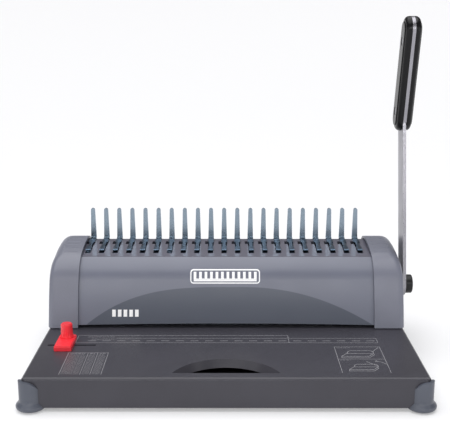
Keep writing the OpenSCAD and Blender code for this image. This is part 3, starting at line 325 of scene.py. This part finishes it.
def smooth_group():
    """A node group that clears a node's stored normals and shades its facets smooth below an angle."""
    group = bpy.data.node_groups.get("smooth_below_angle")
    if group:
        return group
    group = bpy.data.node_groups.new("smooth_below_angle", "GeometryNodeTree")
    group.interface.new_socket("Geometry", in_out="INPUT", socket_type="NodeSocketGeometry")
    group.interface.new_socket("Geometry", in_out="OUTPUT", socket_type="NodeSocketGeometry")
    nodes, links = group.nodes, group.links
    start, end = nodes.new("NodeGroupInput"), nodes.new("NodeGroupOutput")
    plain = nodes.new("GeometryNodeRemoveAttribute")
    plain.inputs["Name"].default_value = "custom_normal"
    faces = nodes.new("GeometryNodeSetShadeSmooth")
    edges = nodes.new("GeometryNodeSetShadeSmooth")
    edges.domain = "EDGE"
    edges.inputs["Shade Smooth"].default_value = False
    angle = nodes.new("GeometryNodeInputMeshEdgeAngle")
    sharp = nodes.new("FunctionNodeCompare")
    sharp.operation = "GREATER_THAN"
    sharp.inputs["B"].default_value = SHARP
    links.new(start.outputs[0], plain.inputs["Geometry"])
    links.new(plain.outputs["Geometry"], faces.inputs["Geometry"])
    links.new(faces.outputs["Geometry"], edges.inputs["Geometry"])
    links.new(angle.outputs["Unsigned Angle"], sharp.inputs["A"])
    links.new(sharp.outputs["Result"], edges.inputs["Selection"])
    links.new(edges.outputs["Geometry"], end.inputs[0])
    return group


def soften(node, round_mm):
    """Breaks a node's hard edges by round_mm, as a mould or a tumbler does, and smooths the rest."""
    thing = frame["nodes"][node]
    weld = thing.modifiers.new("weld", "WELD")
    weld.merge_threshold = WELD_MM * MM
    if round_mm:
        flat = thing.modifiers.new("join_flats", "DECIMATE")
        flat.decimate_type = "DISSOLVE"
        flat.angle_limit = math.radians(0.5)
        bevel = thing.modifiers.new("break_edges", "BEVEL")
        bevel.width = round_mm * MM
        bevel.segments = EDGE_SEGMENTS
        bevel.limit_method = "ANGLE"
        bevel.angle_limit = SHARP
        bevel.use_clamp_overlap = True
    smooth = thing.modifiers.new("smooth", "NODES")
    smooth.node_group = smooth_group()
    level = thing.modifiers.new("keep_flats_flat", "WEIGHTED_NORMAL")
    level.mode = "FACE_AREA"
    level.keep_sharp = True


def finish_nodes(names, material, round_mm=None):
    """Gives nodes one material, and broken edges where round_mm is stated."""
    for name in names:
        thing = frame["nodes"][name]
        for place in thing.material_slots:
            place.material = material
        if round_mm is not None:
            soften(name, round_mm)


def arc(centre, radius, start, end, steps=8):
    """Points of an arc about a centre, its angles in degrees."""
    turns = [math.radians(start + (end - start) * i / steps) for i in range(steps + 1)]
    return [(centre[0] + radius * math.cos(t), centre[1] + radius * math.sin(t)) for t in turns]


def round_box(left, bottom, right, top, radius, steps=6):
    """The closed outline of a rectangle with round corners."""
    return (
        arc((right - radius, bottom + radius), radius, -90, 0, steps)
        + arc((right - radius, top - radius), radius, 0, 90, steps)
        + arc((left + radius, top - radius), radius, 90, 180, steps)
        + arc((left + radius, bottom + radius), radius, 180, 270, steps)
    )


def stepped(points, step_mm, closed=False):
    """A path with extra points, so that no stretch is longer than step_mm."""
    path = []
    ends = list(zip(points, points[1:] + points[:1])) if closed else list(zip(points, points[1:]))
    for a, b in ends:
        count = max(1, math.ceil(math.dist(a, b) / step_mm))
        path += [tuple(p + (q - p) * i / count for p, q in zip(a, b)) for i in range(count)]
    return path if closed else path + [points[-1]]


def ribbon(mesh, path, width_mm, place, film_mm, closed=False):
    """Adds a closed strip of ink that follows a path of flat points; place lays them on a surface."""
    rails = []
    for i, point in enumerate(path):
        before = path[i - 1] if closed or i else point
        after = path[(i + 1) % len(path)] if closed or i < len(path) - 1 else point
        along = (Vector(after) - Vector(before)).normalized()
        side = Vector((-along.y, along.x)) * width_mm / 2
        left, right = Vector(point) - side, Vector(point) + side
        rails.append(
            [mesh.verts.new(place(*p, lift)) for p, lift in
             ((left, INK_SINK_MM), (right, INK_SINK_MM), (right, film_mm), (left, film_mm))]
        )
    spans = len(path) if closed else len(path) - 1
    for i in range(spans):
        a, b = rails[i], rails[(i + 1) % len(path)]
        for k in range(4):
            mesh.faces.new((a[k], a[(k + 1) % 4], b[(k + 1) % 4], b[k]))
    if not closed:
        mesh.faces.new(rails[0][::-1])
        mesh.faces.new(rails[-1])


def printed_piece(name, strokes, place, material, film_mm, step_mm=400.0):
    """One printed mark made of strokes, each a (points, width, closed) group, riding on the body."""
    mesh = bmesh.new()
    for points, width_mm, closed in strokes:
        ribbon(mesh, stepped(points, step_mm, closed), width_mm, place, film_mm, closed)
    bmesh.ops.recalc_face_normals(mesh, faces=mesh.faces)
    data = bpy.data.meshes.new(name)
    mesh.to_mesh(data)
    mesh.free()
    data.materials.append(material)
    piece = bpy.data.objects.new(name, data)
    bpy.context.scene.collection.objects.link(piece)
    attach(piece, "body")
    return piece


class TrayFace:
    """Lays flat points on the tray, given in millimetres across and along it."""

    def __init__(self):
        self.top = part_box("base_tray")[1].z

    def __call__(self, x, y, lift):
        return Vector((x * MM, y * MM, self.top + lift * MM))


class CoverFace:
    """Lays flat points on the front cover's curved face, seen from the front."""

    def __init__(self):
        mesh = bmesh.new()
        mesh.from_mesh(frame["nodes"]["front_cover"].data)
        self.tree = BVHTree.FromBMesh(mesh)
        mesh.free()

    def __call__(self, x, z, lift):
        start = Vector((x * MM, -1.0, z * MM))
        hit, normal, _, _ = self.tree.ray_cast(start, Vector((0, 1, 0)))
        if hit is None:
            raise ValueError(f"the printed mark misses the cover at x {x:.1f}, z {z:.1f}")
        if normal.y > 0:
            normal = -normal
        return hit + normal * lift * MM


# ---------------------------------------------------------------- settings


class ShellSettings(bpy.types.PropertyGroup):
    """Colours and edges of the base, hood and feet."""

    hood: colour_property("Hood enamel", "Colour of the covers above the band", "#696c7a")
    band: colour_property("Band enamel", "Colour of the darker band on the front cover", "#494e5b")
    cap: colour_property("End caps", "Colour of the end caps", "#6d6f7c")
    deck: colour_property("Deck enamel", "Colour of the deck between the covers", "#666571")
    tray: colour_property("Base", "Colour of the moulded base", "#3c3b42")
    foot: colour_property("Feet", "Colour of the corner feet", "#4d515c")
    edge_mm: bpy.props.FloatProperty(
        name="Edge radius", description="Radius of the feet's moulded edges, in millimetres",
        default=0.7, min=0.1, max=2,
    )
    band_top_mm: bpy.props.FloatProperty(
        name="Band height", description="Height of the darker band's crest above the table, in millimetres",
        default=72.0, min=50, max=90,
    )
    band_foot_mm: bpy.props.FloatProperty(
        name="Band foot", description="Height at which the band's ends are measured, in millimetres",
        default=32.8, min=20, max=50,
    )
    band_left_mm: bpy.props.FloatProperty(
        name="Band left end", description="Where the band's left end lies, in millimetres",
        default=-149, min=-170, max=-60,
    )
    band_crest_mm: bpy.props.FloatProperty(
        name="Band crest", description="Where the band's crest lies, in millimetres",
        default=10, min=-60, max=60,
    )
    band_right_mm: bpy.props.FloatProperty(
        name="Band right end", description="Where the band's right end lies, in millimetres",
        default=149, min=60, max=170,
    )
    reach_mm: bpy.props.FloatProperty(
        name="Band reach", description="Half the width over which the band's edge is drawn, in millimetres",
        default=160, min=100, max=200,
    )

    left_fullness: bpy.props.FloatProperty(
        name="Left fullness", description="How square the band's edge is left of its crest; 2 is a parabola",
        default=3.4, min=1.5, max=6,
    )
    right_fullness: bpy.props.FloatProperty(
        name="Right fullness", description="How square the band's edge is right of its crest",
        default=2.2, min=1.5, max=6,
    )

    def height(self, x_mm):
        """Height of the band's edge at x, which falls away from the crest to both ends."""
        off = x_mm - self.band_crest_mm
        if off < 0:
            reach, power = self.band_crest_mm - self.band_left_mm, self.left_fullness
        else:
            reach, power = self.band_right_mm - self.band_crest_mm, self.right_fullness
        fall = (abs(off) / reach) ** power
        return max(0.0, self.band_top_mm - (self.band_top_mm - self.band_foot_mm) * fall)


class MetalSettings(bpy.types.PropertyGroup):
    """Colours of the bare and plated metal."""

    tooth: colour_property("Comb teeth", "Colour of the plated comb teeth", "#8795a1")
    hook: colour_property("Comb hooks", "Colour of the comb hooks", "#5a6a7c")
    lever: colour_property("Lever bar", "Colour of the lever's steel bar", "#99989e")
    frame: colour_property("Frames", "Colour of the zinc plated frames and screws", "#aeb2b8")
    tool: colour_property("Tool steel", "Colour of the ground punch and die", "#b9bcc1")
    gear: colour_property("Gears", "Colour of the sintered pinions and racks", "#8d8a85")


class TrimSettings(bpy.types.PropertyGroup):
    """Colours of the grip, nut and edge guide."""

    grip: colour_property("Grip", "Colour of the lever's grip scales", "#0f0f11")
    grip_edge_mm: bpy.props.FloatProperty(
        name="Grip edge radius", description="Radius of the grip's moulded edges, in millimetres",
        default=1.4, min=0.2, max=2.5,
    )
    nut: colour_property("Lever nut", "Colour of the round nut at the lever's pivot", "#141416")
    guide: colour_property("Edge guide", "Colour of the edge guide and its knob", "#ee333e")
    drawer: colour_property("Chip drawer", "Colour of the chip drawer", "#3a3a3f")


class PrintSettings(bpy.types.PropertyGroup):
    """Sizes and colours of the printed marks."""

    ink: colour_property("Tray ink", "Colour of the scales and drawings on the tray", "#a9a8ad")
    white: colour_property("Cover ink", "Colour of the badge and mark on the cover", "#fdfdfe")
    line_mm: bpy.props.FloatProperty(
        name="Line width", description="Width of the thin printed lines, in millimetres",
        default=0.4, min=0.1, max=1,
    )
    film_mm: bpy.props.FloatProperty(
        name="Film thickness", description="Thickness of the ink, in millimetres",
        default=0.035, min=0.02, max=0.2,
    )
    badge_w_mm: bpy.props.FloatProperty(
        name="Badge width", description="Width of the badge's outline, in millimetres",
        default=71, min=30, max=120,
    )
    badge_h_mm: bpy.props.FloatProperty(
        name="Badge height", description="Height of the badge's outline, in millimetres",
        default=13.2, min=8, max=30,
    )


class StudioSettings(bpy.types.PropertyGroup):
    """Camera, floor and lamps."""

    lens_mm: bpy.props.FloatProperty(
        name="Lens", description="Focal length on a 36 mm sensor, in millimetres",
        default=68.0, min=20, max=200, subtype="UNSIGNED",
    )
    camera: bpy.props.FloatVectorProperty(
        name="Camera", description="Where the camera stands", subtype="XYZ", unit="LENGTH", size=3,
        default=(-0.0039, -0.8095, 0.3404),
    )
    tilt: bpy.props.FloatProperty(
        name="Tilt", description="How far the camera looks down", subtype="ANGLE", default=math.radians(13.18)
    )
    turn: bpy.props.FloatProperty(
        name="Turn", description="How far the camera looks to the left", subtype="ANGLE",
        default=math.radians(0.088),
    )
    floor: colour_property("Floor", "Colour of the table under the machine", "#cfcfd1")
    room: bpy.props.FloatProperty(
        name="Room light", description="Brightness of the room around the set", default=0.18, min=0, max=4
    )
    ceiling: bpy.props.FloatProperty(
        name="Ceiling light", description="Light from the wide silk overhead, in watts per square metre",
        default=2.85, min=0, max=20,
    )
    strip: bpy.props.FloatProperty(
        name="Strip lamp", description="Watts of the long soft lamp in front", default=9.5, min=0, max=200
    )
    side: bpy.props.FloatProperty(
        name="Side lamps", description="Watts of each soft lamp at the sides", default=1.6, min=0, max=200
    )
    table: bpy.props.FloatProperty(
        name="Light table", description="Glow of the white floor from beneath", default=0.3, min=0, max=2
    )


SETTINGS = {
    "binder_shell": ShellSettings,
    "binder_metal": MetalSettings,
    "binder_trim": TrimSettings,
    "binder_print": PrintSettings,
    "binder_studio": StudioSettings,
}


# ---------------------------------------------------------------- operators


class BINDER_OT_base(bpy.types.Operator):
    """Finishes the moulded base and the sheet that closes it"""

    bl_idname = "binder.base"
    bl_label = "Base"

    def execute(self, context):
        shell = context.scene.binder_shell
        plastic = moulded_plastic("moulded_abs_charcoal", (*shell.tray, 1), 0.32, gloss=0.35)
        finish_nodes(["base_tray"], plastic, 0.5)
        # the bottom plate's near black is partly its dipped paint and partly painted shade, so that the hand
        # hole reads dark
        finish_nodes(["bottom_plate"], black_sheet_and_hole_shade())
        return {"FINISHED"}


class BINDER_OT_feet(bpy.types.Operator):
    """Finishes the four corner feet and their rubber pads"""

    bl_idname = "binder.feet"
    bl_label = "Feet"

    def execute(self, context):
        shell = context.scene.binder_shell
        plastic = moulded_plastic("moulded_polypropylene_blue_grey", (*shell.foot, 1), 0.36)
        corners = [f"foot_{end}_{side}" for end in ("front", "rear") for side in ("left", "right")]
        finish_nodes(corners, plastic, shell.edge_mm)
        finish_nodes(["foot_pads"], moulded_rubber(), 0.3)
        return {"FINISHED"}


class BINDER_OT_covers(bpy.types.Operator):
    """Finishes the front and rear covers of the hood"""

    bl_idname = "binder.covers"
    bl_label = "Covers"

    def execute(self, context):
        shell = context.scene.binder_shell
        front = two_tone_enamel((*shell.hood, 1), (*shell.band, 1), 0.34, shell)
        finish_nodes(["front_cover"], front)
        finish_nodes(["rear_cover"], stoved_enamel("stoved_enamel_slate", (*shell.hood, 1), 0.34))
        return {"FINISHED"}


class BINDER_OT_deck(bpy.types.Operator):
    """Finishes the slotted deck"""

    bl_idname = "binder.deck"
    bl_label = "Deck"

    def execute(self, context):
        shell = context.scene.binder_shell
        finish_nodes(["deck_plate"], stoved_enamel("stoved_enamel_gloss", (*shell.deck, 1), 0.14))
        return {"FINISHED"}


class BINDER_OT_end_caps(bpy.types.Operator):
    """Finishes the two end caps"""

    bl_idname = "binder.end_caps"
    bl_label = "End caps"

    def execute(self, context):
        shell = context.scene.binder_shell
        plastic = moulded_plastic("moulded_abs_slate", (*shell.cap, 1), 0.38)
        finish_nodes(["end_cap_left", "end_cap_right"], plastic, 0.0)
        return {"FINISHED"}


class BINDER_OT_teeth(bpy.types.Operator):
    """Finishes the fixed comb teeth"""

    bl_idname = "binder.teeth"
    bl_label = "Comb teeth"

    def execute(self, context):
        metal = context.scene.binder_metal
        finish_nodes(["comb_rack"], plated_steel("zinc_plated_teeth", (*metal.tooth, 1), 0.26), 0.3)
        return {"FINISHED"}


class BINDER_OT_hooks(bpy.types.Operator):
    """Finishes the sliding comb hooks"""

    bl_idname = "binder.hooks"
    bl_label = "Comb hooks"

    def execute(self, context):
        metal = context.scene.binder_metal
        finish_nodes(["opener_plate"], plated_steel("blued_steel", (*metal.hook, 1), 0.3), 0.2)
        return {"FINISHED"}


class BINDER_OT_frames(bpy.types.Operator):
    """Finishes the side frames, beam, tie rod, brackets and spacers"""

    bl_idname = "binder.frames"
    bl_label = "Frames"

    def execute(self, context):
        metal = context.scene.binder_metal
        zinc = plated_steel("zinc_plated_frame", (*metal.frame, 1), 0.38, spangle_mm=9)
        finish_nodes(
            ["side_frame_left", "side_frame_right", "rack_beam", "tie_rod", "cover_brackets",
             "guide_spacers", "paper_stop", "shaft_rings"], zinc,
        )
        return {"FINISHED"}


class BINDER_OT_punch(bpy.types.Operator):
    """Finishes the die, the punch bar, its punches, guide and springs"""

    bl_idname = "binder.punch"
    bl_label = "Punch"

    def execute(self, context):
        metal = context.scene.binder_metal
        ground = brushed_steel("ground_tool_steel", (*metal.tool, 1), 0.28, "X")
        finish_nodes(["die_plate", "punch_guide", "punch_bar", "punch_pins", "guide_posts"], ground)
        wire = plated_steel("drawn_spring_wire", (*metal.tool, 1), 0.25)
        finish_nodes(["return_spring_left", "return_spring_right"], wire, 0.0)
        return {"FINISHED"}


class BINDER_OT_drive(bpy.types.Operator):
    """Finishes the pinions, racks, bushes and nylon rails"""

    bl_idname = "binder.drive"
    bl_label = "Drive"

    def execute(self, context):
        metal = context.scene.binder_metal
        sides = ("left", "right")
        names = [f"{kind}_{side}" for kind in ("pinion", "punch_rack", "opener_rack") for side in sides]
        finish_nodes(names, sintered_steel((*metal.gear, 1)))
        finish_nodes(["shaft_bushes"], oilite_bronze())
        finish_nodes(["opener_rails", "drawer_rails"], natural_nylon())
        return {"FINISHED"}


class BINDER_OT_lever(bpy.types.Operator):
    """Finishes the lever's bar, shaft, washer and rivets"""

    bl_idname = "binder.lever"
    bl_label = "Lever"

    def execute(self, context):
        metal = context.scene.binder_metal
        bar = brushed_steel("belt_finished_steel", (*metal.lever, 1), 0.34, "Z", line_mm=0.6)
        finish_nodes(["lever_bar"], bar, 0.4)
        finish_nodes(["lever_shaft", "grip_rivets", "lever_washer"], bar)
        return {"FINISHED"}


class BINDER_OT_grips(bpy.types.Operator):
    """Finishes the two grip scales and the round nut"""

    bl_idname = "binder.grips"
    bl_label = "Grips"

    def execute(self, context):
        trim = context.scene.binder_trim
        gloss = moulded_plastic(
            "moulded_abs_gloss_black", (*trim.grip, 1), 0.24, grain_depth_mm=0.003, gloss=0.2
        )
        finish_nodes(["grip_inner", "grip_outer"], gloss, trim.grip_edge_mm)
        nut = moulded_plastic("phenolic_black", (*trim.nut, 1), 0.32, gloss=0.3)
        finish_nodes(["lever_knob"], nut, 0.3)
        return {"FINISHED"}


class BINDER_OT_edge_guide(bpy.types.Operator):
    """Finishes the edge guide, its knob and the plate under the tray"""

    bl_idname = "binder.edge_guide"
    bl_label = "Edge guide"

    def execute(self, context):
        trim = context.scene.binder_trim
        red = moulded_plastic("moulded_abs_red", (*trim.guide, 1), 0.25)
        finish_nodes(["edge_guide"], red, 0.5)
        finish_nodes(["edge_guide_knob"], red, 0.25)
        finish_nodes(["edge_guide_key"], black_sheet_and_hole_shade())
        return {"FINISHED"}


class BINDER_OT_drawer(bpy.types.Operator):
    """Finishes the chip drawer"""

    bl_idname = "binder.drawer"
    bl_label = "Chip drawer"

    def execute(self, context):
        trim = context.scene.binder_trim
        plastic = moulded_plastic("moulded_polystyrene_dark", (*trim.drawer, 1), 0.4)
        finish_nodes(["chip_drawer"], plastic, 0.4)
        return {"FINISHED"}


class BINDER_OT_fasteners(bpy.types.Operator):
    """Finishes every screw"""

    bl_idname = "binder.fasteners"
    bl_label = "Fasteners"

    def execute(self, context):
        metal = context.scene.binder_metal
        zinc = plated_steel("zinc_plated_screws", (*metal.frame, 1), 0.3, spangle_mm=2)
        finish_nodes(["foot_screws", "frame_screws", "cap_screws", "rack_screws", "cover_screws"], zinc)
        return {"FINISHED"}


def comb_middle_mm():
    """Where the middle of the row of holes lies across the machine."""
    low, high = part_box("punch_pins")
    return (low.x + high.x) / 2 / MM


def text_rows(left, right, top, bottom, row_mm, line_mm, key):
    """Rows of short dashes that stand for small print."""
    strokes = []
    count = int((top - bottom) / row_mm)
    for row in range(count):
        y = top - (row + 0.5) * row_mm
        x, piece = left, 0
        while x < right - 0.6:
            length = 1.0 + 1.7 * ((row * 7 + piece * 5 + key * 3) % 4) / 3
            end = min(right, x + length)
            strokes.append(([(x, y), (end, y)], line_mm, False))
            x, piece = end + 0.8, piece + 1
    return strokes


class BINDER_OT_ruler_print(bpy.types.Operator):
    """Prints the hole scale across the tray"""

    bl_idname = "binder.ruler_print"
    bl_label = "Hole scale"

    def execute(self, context):
        marks = context.scene.binder_print
        ink = screen_ink("screen_ink_grey", (*marks.ink, 1), 0.6)
        line = marks.line_mm
        left, middle, right = -149.8, 57.0, 143.0
        top, second, dashes, bottom = -16.4, -23.9, -30.6, -35.5
        strokes = [
            ([(left, top), (middle, top)], line, False),
            ([(left + 38, second), (right, second)], line, False),
            ([(left, bottom), (right, bottom)], line, False),
            ([(left, bottom), (left, top)], line, False),
            ([(middle, bottom), (middle, top)], line, False),
            ([(right, bottom), (right, second)], line, False),
        ]
        half_hole, holes_each_side = 4.0, 10
        for i in range(-holes_each_side, holes_each_side + 1):
            x = comb_middle_mm() + i * HOLE_PITCH_MM
            if left < x - half_hole and x + half_hole < right:
                strokes.append(([(x - half_hole, dashes), (x + half_hole, dashes)], 1.6 * line, False))
        strokes += text_rows(left + 10, left + 36, top - 1, second + 1.5, 2.4, line, 1)
        strokes += text_rows(left + 14, left + 36, second - 0.5, dashes + 1.2, 2.4, line, 2)
        printed_piece("ruler_print", strokes, TrayFace(), ink, marks.film_mm)
        return {"FINISHED"}


class BINDER_OT_table_print(bpy.types.Operator):
    """Prints the small size table at the tray's left"""

    bl_idname = "binder.table_print"
    bl_label = "Size table"

    def execute(self, context):
        marks = context.scene.binder_print
        ink = bpy.data.materials["screen_ink_grey"]
        line = marks.line_mm
        left, right, top, bottom = -152.0, -114.7, -60.8, -111.0
        columns = [left, left + 18.5, left + 27.5, right]
        strokes = [([(left, top), (right, top)], line, False)]
        strokes += [([(x, bottom), (x, top)], line, False) for x in columns]
        head = top - 4.5
        for k, (a, b) in enumerate(zip(columns, columns[1:])):
            strokes += text_rows(a + 2, b - 2, top - 1, head, 1.7, 1.3 * line, k)
            strokes += text_rows(a + 1.5, b - 1.5, head - 1, bottom, 2.1, line, k + 4)
        printed_piece("table_print", strokes, TrayFace(), ink, marks.film_mm)
        return {"FINISHED"}


class BINDER_OT_steps_print(bpy.types.Operator):
    """Prints the two small line drawings at the tray's right"""

    bl_idname = "binder.steps_print"
    bl_label = "Step drawings"

    def machine(self, x, y, size, lever_lean):
        """A small outline of a machine, on a grid of its own: base, hood and lever."""
        base = [(0, 0), (22, 0), (27, 6), (27, 9), (5, 9), (0, 3), (0, 0)]
        hood = [(5, 9), (7, 14), (9, 15), (25, 15), (27, 13), (27, 9)]
        edge = [(0, 3), (22, 3), (27, 9)]
        tip = (26 + 12 * math.sin(lever_lean), 12 + 12 * math.cos(lever_lean))
        lever = [(26, 12), tip]
        return [[(x + u * size, y + v * size) for u, v in shape] for shape in (base, hood, edge, lever)]

    def execute(self, context):
        marks = context.scene.binder_print
        ink = bpy.data.materials["screen_ink_grey"]
        line = marks.line_mm
        left, right, top, middle, bottom = 99.4, 142.6, -46.0, -75.7, -106.6
        strokes = [
            ([(left, top), (right, top)], line, False),
            ([(left, middle), (right, middle)], line, False),
            ([(left, bottom), (left, top)], line, False),
            ([(right, bottom), (right, top)], line, False),
        ]
        strokes += text_rows(left + 2, left + 15, top - 1.5, top - 5, 1.8, line, 2)
        strokes += text_rows(left + 2, left + 13, middle - 1.5, middle - 5, 1.8, line, 3)
        shapes = self.machine(left + 4, middle + 3, 1.15, math.radians(35))
        shapes += self.machine(left + 7, bottom + 4, 1.0, math.radians(-40))
        strokes += [(shape, 1.3 * line, False) for shape in shapes]
        sweep = arc((left + 32, bottom + 15), 11, 20, 85)
        strokes.append((sweep, 1.3 * line, False))
        tip = sweep[-1]
        arrow = [(tip[0] + 2.6, tip[1] - 1.8), tip, (tip[0] + 2.4, tip[1] + 2.0)]
        strokes.append((arrow, 1.3 * line, False))
        printed_piece("steps_print", strokes, TrayFace(), ink, marks.film_mm)
        return {"FINISHED"}


class BINDER_OT_cover_badge(bpy.types.Operator):
    """Prints the badge, a plain picture of a binding comb in a round-cornered frame"""

    bl_idname = "binder.cover_badge"
    bl_label = "Cover badge"

    def execute(self, context):
        marks = context.scene.binder_print
        ink = screen_ink("screen_ink_white", (*marks.white, 1), 0.93)
        middle, low = -5.0, 75.2
        half, high = marks.badge_w_mm / 2, low + marks.badge_h_mm
        stroke = 1.1
        inset = stroke / 2
        corner = 2.6
        outline = round_box(middle - half + inset, low + inset, middle + half - inset, high - inset, corner)
        strokes = [(outline, stroke, True)]
        spine, spine_w, reach = low + 3.5, 2.6, half - 3.4
        strokes.append(([(middle - reach, spine), (middle + reach, spine)], spine_w, False))
        teeth, tooth_w = 12, 2.7
        for i in range(teeth):
            x = middle - reach + tooth_w / 2 + (2 * reach - tooth_w) * i / (teeth - 1)
            strokes.append(([(x, spine + 1.2), (x, high - 2.3)], tooth_w, False))
        printed_piece("cover_badge", strokes, CoverFace(), ink, marks.film_mm, step_mm=1.5)
        return {"FINISHED"}


class BINDER_OT_cover_mark(bpy.types.Operator):
    """Prints the small row of five plain slots low on the cover"""

    bl_idname = "binder.cover_mark"
    bl_label = "Cover mark"

    def execute(self, context):
        marks = context.scene.binder_print
        ink = bpy.data.materials["screen_ink_white"]
        left, low, high, step, width = -119.6, 43.4, 50.2, 5.8, 3.6
        strokes = []
        for i in range(5):
            x = left + i * step + width / 2
            strokes.append(([(x, low), (x, high)], width, False))
        printed_piece("cover_mark", strokes, CoverFace(), ink, marks.film_mm, step_mm=1.5)
        return {"FINISHED"}


class BINDER_OT_studio(bpy.types.Operator):
    """Sets the pale floor, the soft lamps and the camera"""

    bl_idname = "binder.studio"
    bl_label = "Studio"

    def dish(self, name, flat, reach, rise):
        """A round floor that is level near the middle and sweeps up gently toward its rim."""
        sides, rings = 96, 24
        mesh = bmesh.new()
        middle = mesh.verts.new((0, 0, 0))
        rows = []
        for k in range(rings + 1):
            out = k / rings
            radius, height = flat + (reach - flat) * out, rise * out * out
            turns = [math.tau * i / sides for i in range(sides)]
            rows.append([mesh.verts.new((radius * math.cos(t), radius * math.sin(t), height)) for t in turns])
        for i in range(sides):
            j = (i + 1) % sides
            mesh.faces.new((middle, rows[0][i], rows[0][j]))
            for low, high in zip(rows, rows[1:]):
                mesh.faces.new((low[i], high[i], high[j], low[j]))
        for face in mesh.faces:
            face.smooth = True
        data = bpy.data.meshes.new(name)
        mesh.to_mesh(data)
        mesh.free()
        floor = bpy.data.objects.new(name, data)
        bpy.context.scene.collection.objects.link(floor)
        return floor

    def lamp(self, name, place, aim, size, watts):
        """A soft lamp that points at a spot, and that only its light shows."""
        data = bpy.data.lights.new(name, "AREA")
        data.shape = "RECTANGLE"
        data.size, data.size_y = size
        data.energy = watts
        lamp = bpy.data.objects.new(name, data)
        lamp.location = place
        lamp.rotation_euler = (Vector(aim) - Vector(place)).to_track_quat("-Z", "Y").to_euler()
        lamp.visible_camera = False
        bpy.context.scene.collection.objects.link(lamp)

    def execute(self, context):
        studio = context.scene.binder_studio
        floor = self.dish("floor", flat=3.0, reach=12.0, rise=1.8)
        floor.data.materials.append(light_table((*studio.floor, 1), studio.table))

        world = bpy.data.worlds.new("room")
        world.use_nodes = True
        background = world.node_tree.nodes["Background"]
        background.inputs["Color"].default_value = (1, 1, 1, 1)
        background.inputs["Strength"].default_value = studio.room
        context.scene.world = world
        context.scene.view_settings.view_transform = "Standard"

        silk = bpy.data.lights.new("silk", "SUN")
        silk.energy = studio.ceiling
        silk.angle = math.radians(75)
        above = bpy.data.objects.new("silk", silk)
        above.rotation_euler = (math.radians(-6), math.radians(-8), 0)
        context.scene.collection.objects.link(above)
        hood_z = 0.08  # the lamps aim at the hood's mid height
        self.lamp("strip_lamp", (-0.1, -1.5, 0.8), (0, 0, hood_z), (2.0, 0.25), studio.strip)
        for side in (-1, 1):
            place, aim = (side * 1.1, -0.75, 0.45), (side * 0.15, 0, hood_z)
            self.lamp(f"side_lamp_{side}", place, aim, (0.3, 0.8), studio.side)

        data = bpy.data.cameras.new("camera")
        data.lens = studio.lens_mm
        data.sensor_width = 36
        camera = bpy.data.objects.new("camera", data)
        camera.location = studio.camera
        camera.rotation_euler = (math.pi / 2 - studio.tilt, 0, studio.turn)
        context.scene.collection.objects.link(camera)
        context.scene.camera = camera
        return {"FINISHED"}


OPERATORS = [
    BINDER_OT_studio,
    BINDER_OT_base,
    BINDER_OT_feet,
    BINDER_OT_covers,
    BINDER_OT_deck,
    BINDER_OT_end_caps,
    BINDER_OT_teeth,
    BINDER_OT_hooks,
    BINDER_OT_frames,
    BINDER_OT_punch,
    BINDER_OT_drive,
    BINDER_OT_lever,
    BINDER_OT_grips,
    BINDER_OT_edge_guide,
    BINDER_OT_drawer,
    BINDER_OT_fasteners,
    BINDER_OT_ruler_print,
    BINDER_OT_table_print,
    BINDER_OT_steps_print,
    BINDER_OT_cover_badge,
    BINDER_OT_cover_mark,
]


class BINDER_PT_panel(bpy.types.Panel):
    """Lists the machine's settings and its building steps"""

    bl_label = "Comb Binding Machine"
    bl_idname = "BINDER_PT_panel"
    bl_space_type = "VIEW_3D"
    bl_region_type = "UI"
    bl_category = "Binder"

    def draw(self, context):
        for name, group in SETTINGS.items():
            column = self.layout.column(align=True)
            for key in group.__annotations__:
                column.prop(getattr(context.scene, name), key)
        for operator in OPERATORS:
            self.layout.operator(operator.bl_idname)


def register():
    for group in SETTINGS.values():
        bpy.utils.register_class(group)
    for name, group in SETTINGS.items():
        setattr(bpy.types.Scene, name, bpy.props.PointerProperty(type=group))
    for kind in (*OPERATORS, BINDER_PT_panel):
        bpy.utils.register_class(kind)


def unregister():
    for kind in (BINDER_PT_panel, *reversed(OPERATORS)):
        bpy.utils.unregister_class(kind)
    for name in SETTINGS:
        delattr(bpy.types.Scene, name)
    for group in SETTINGS.values():
        bpy.utils.unregister_class(group)


def main():
    register()
    for operator in OPERATORS:
        group, name = operator.bl_idname.split(".")
        getattr(getattr(bpy.ops, group), name)()


if __name__ == "__main__":
    main()
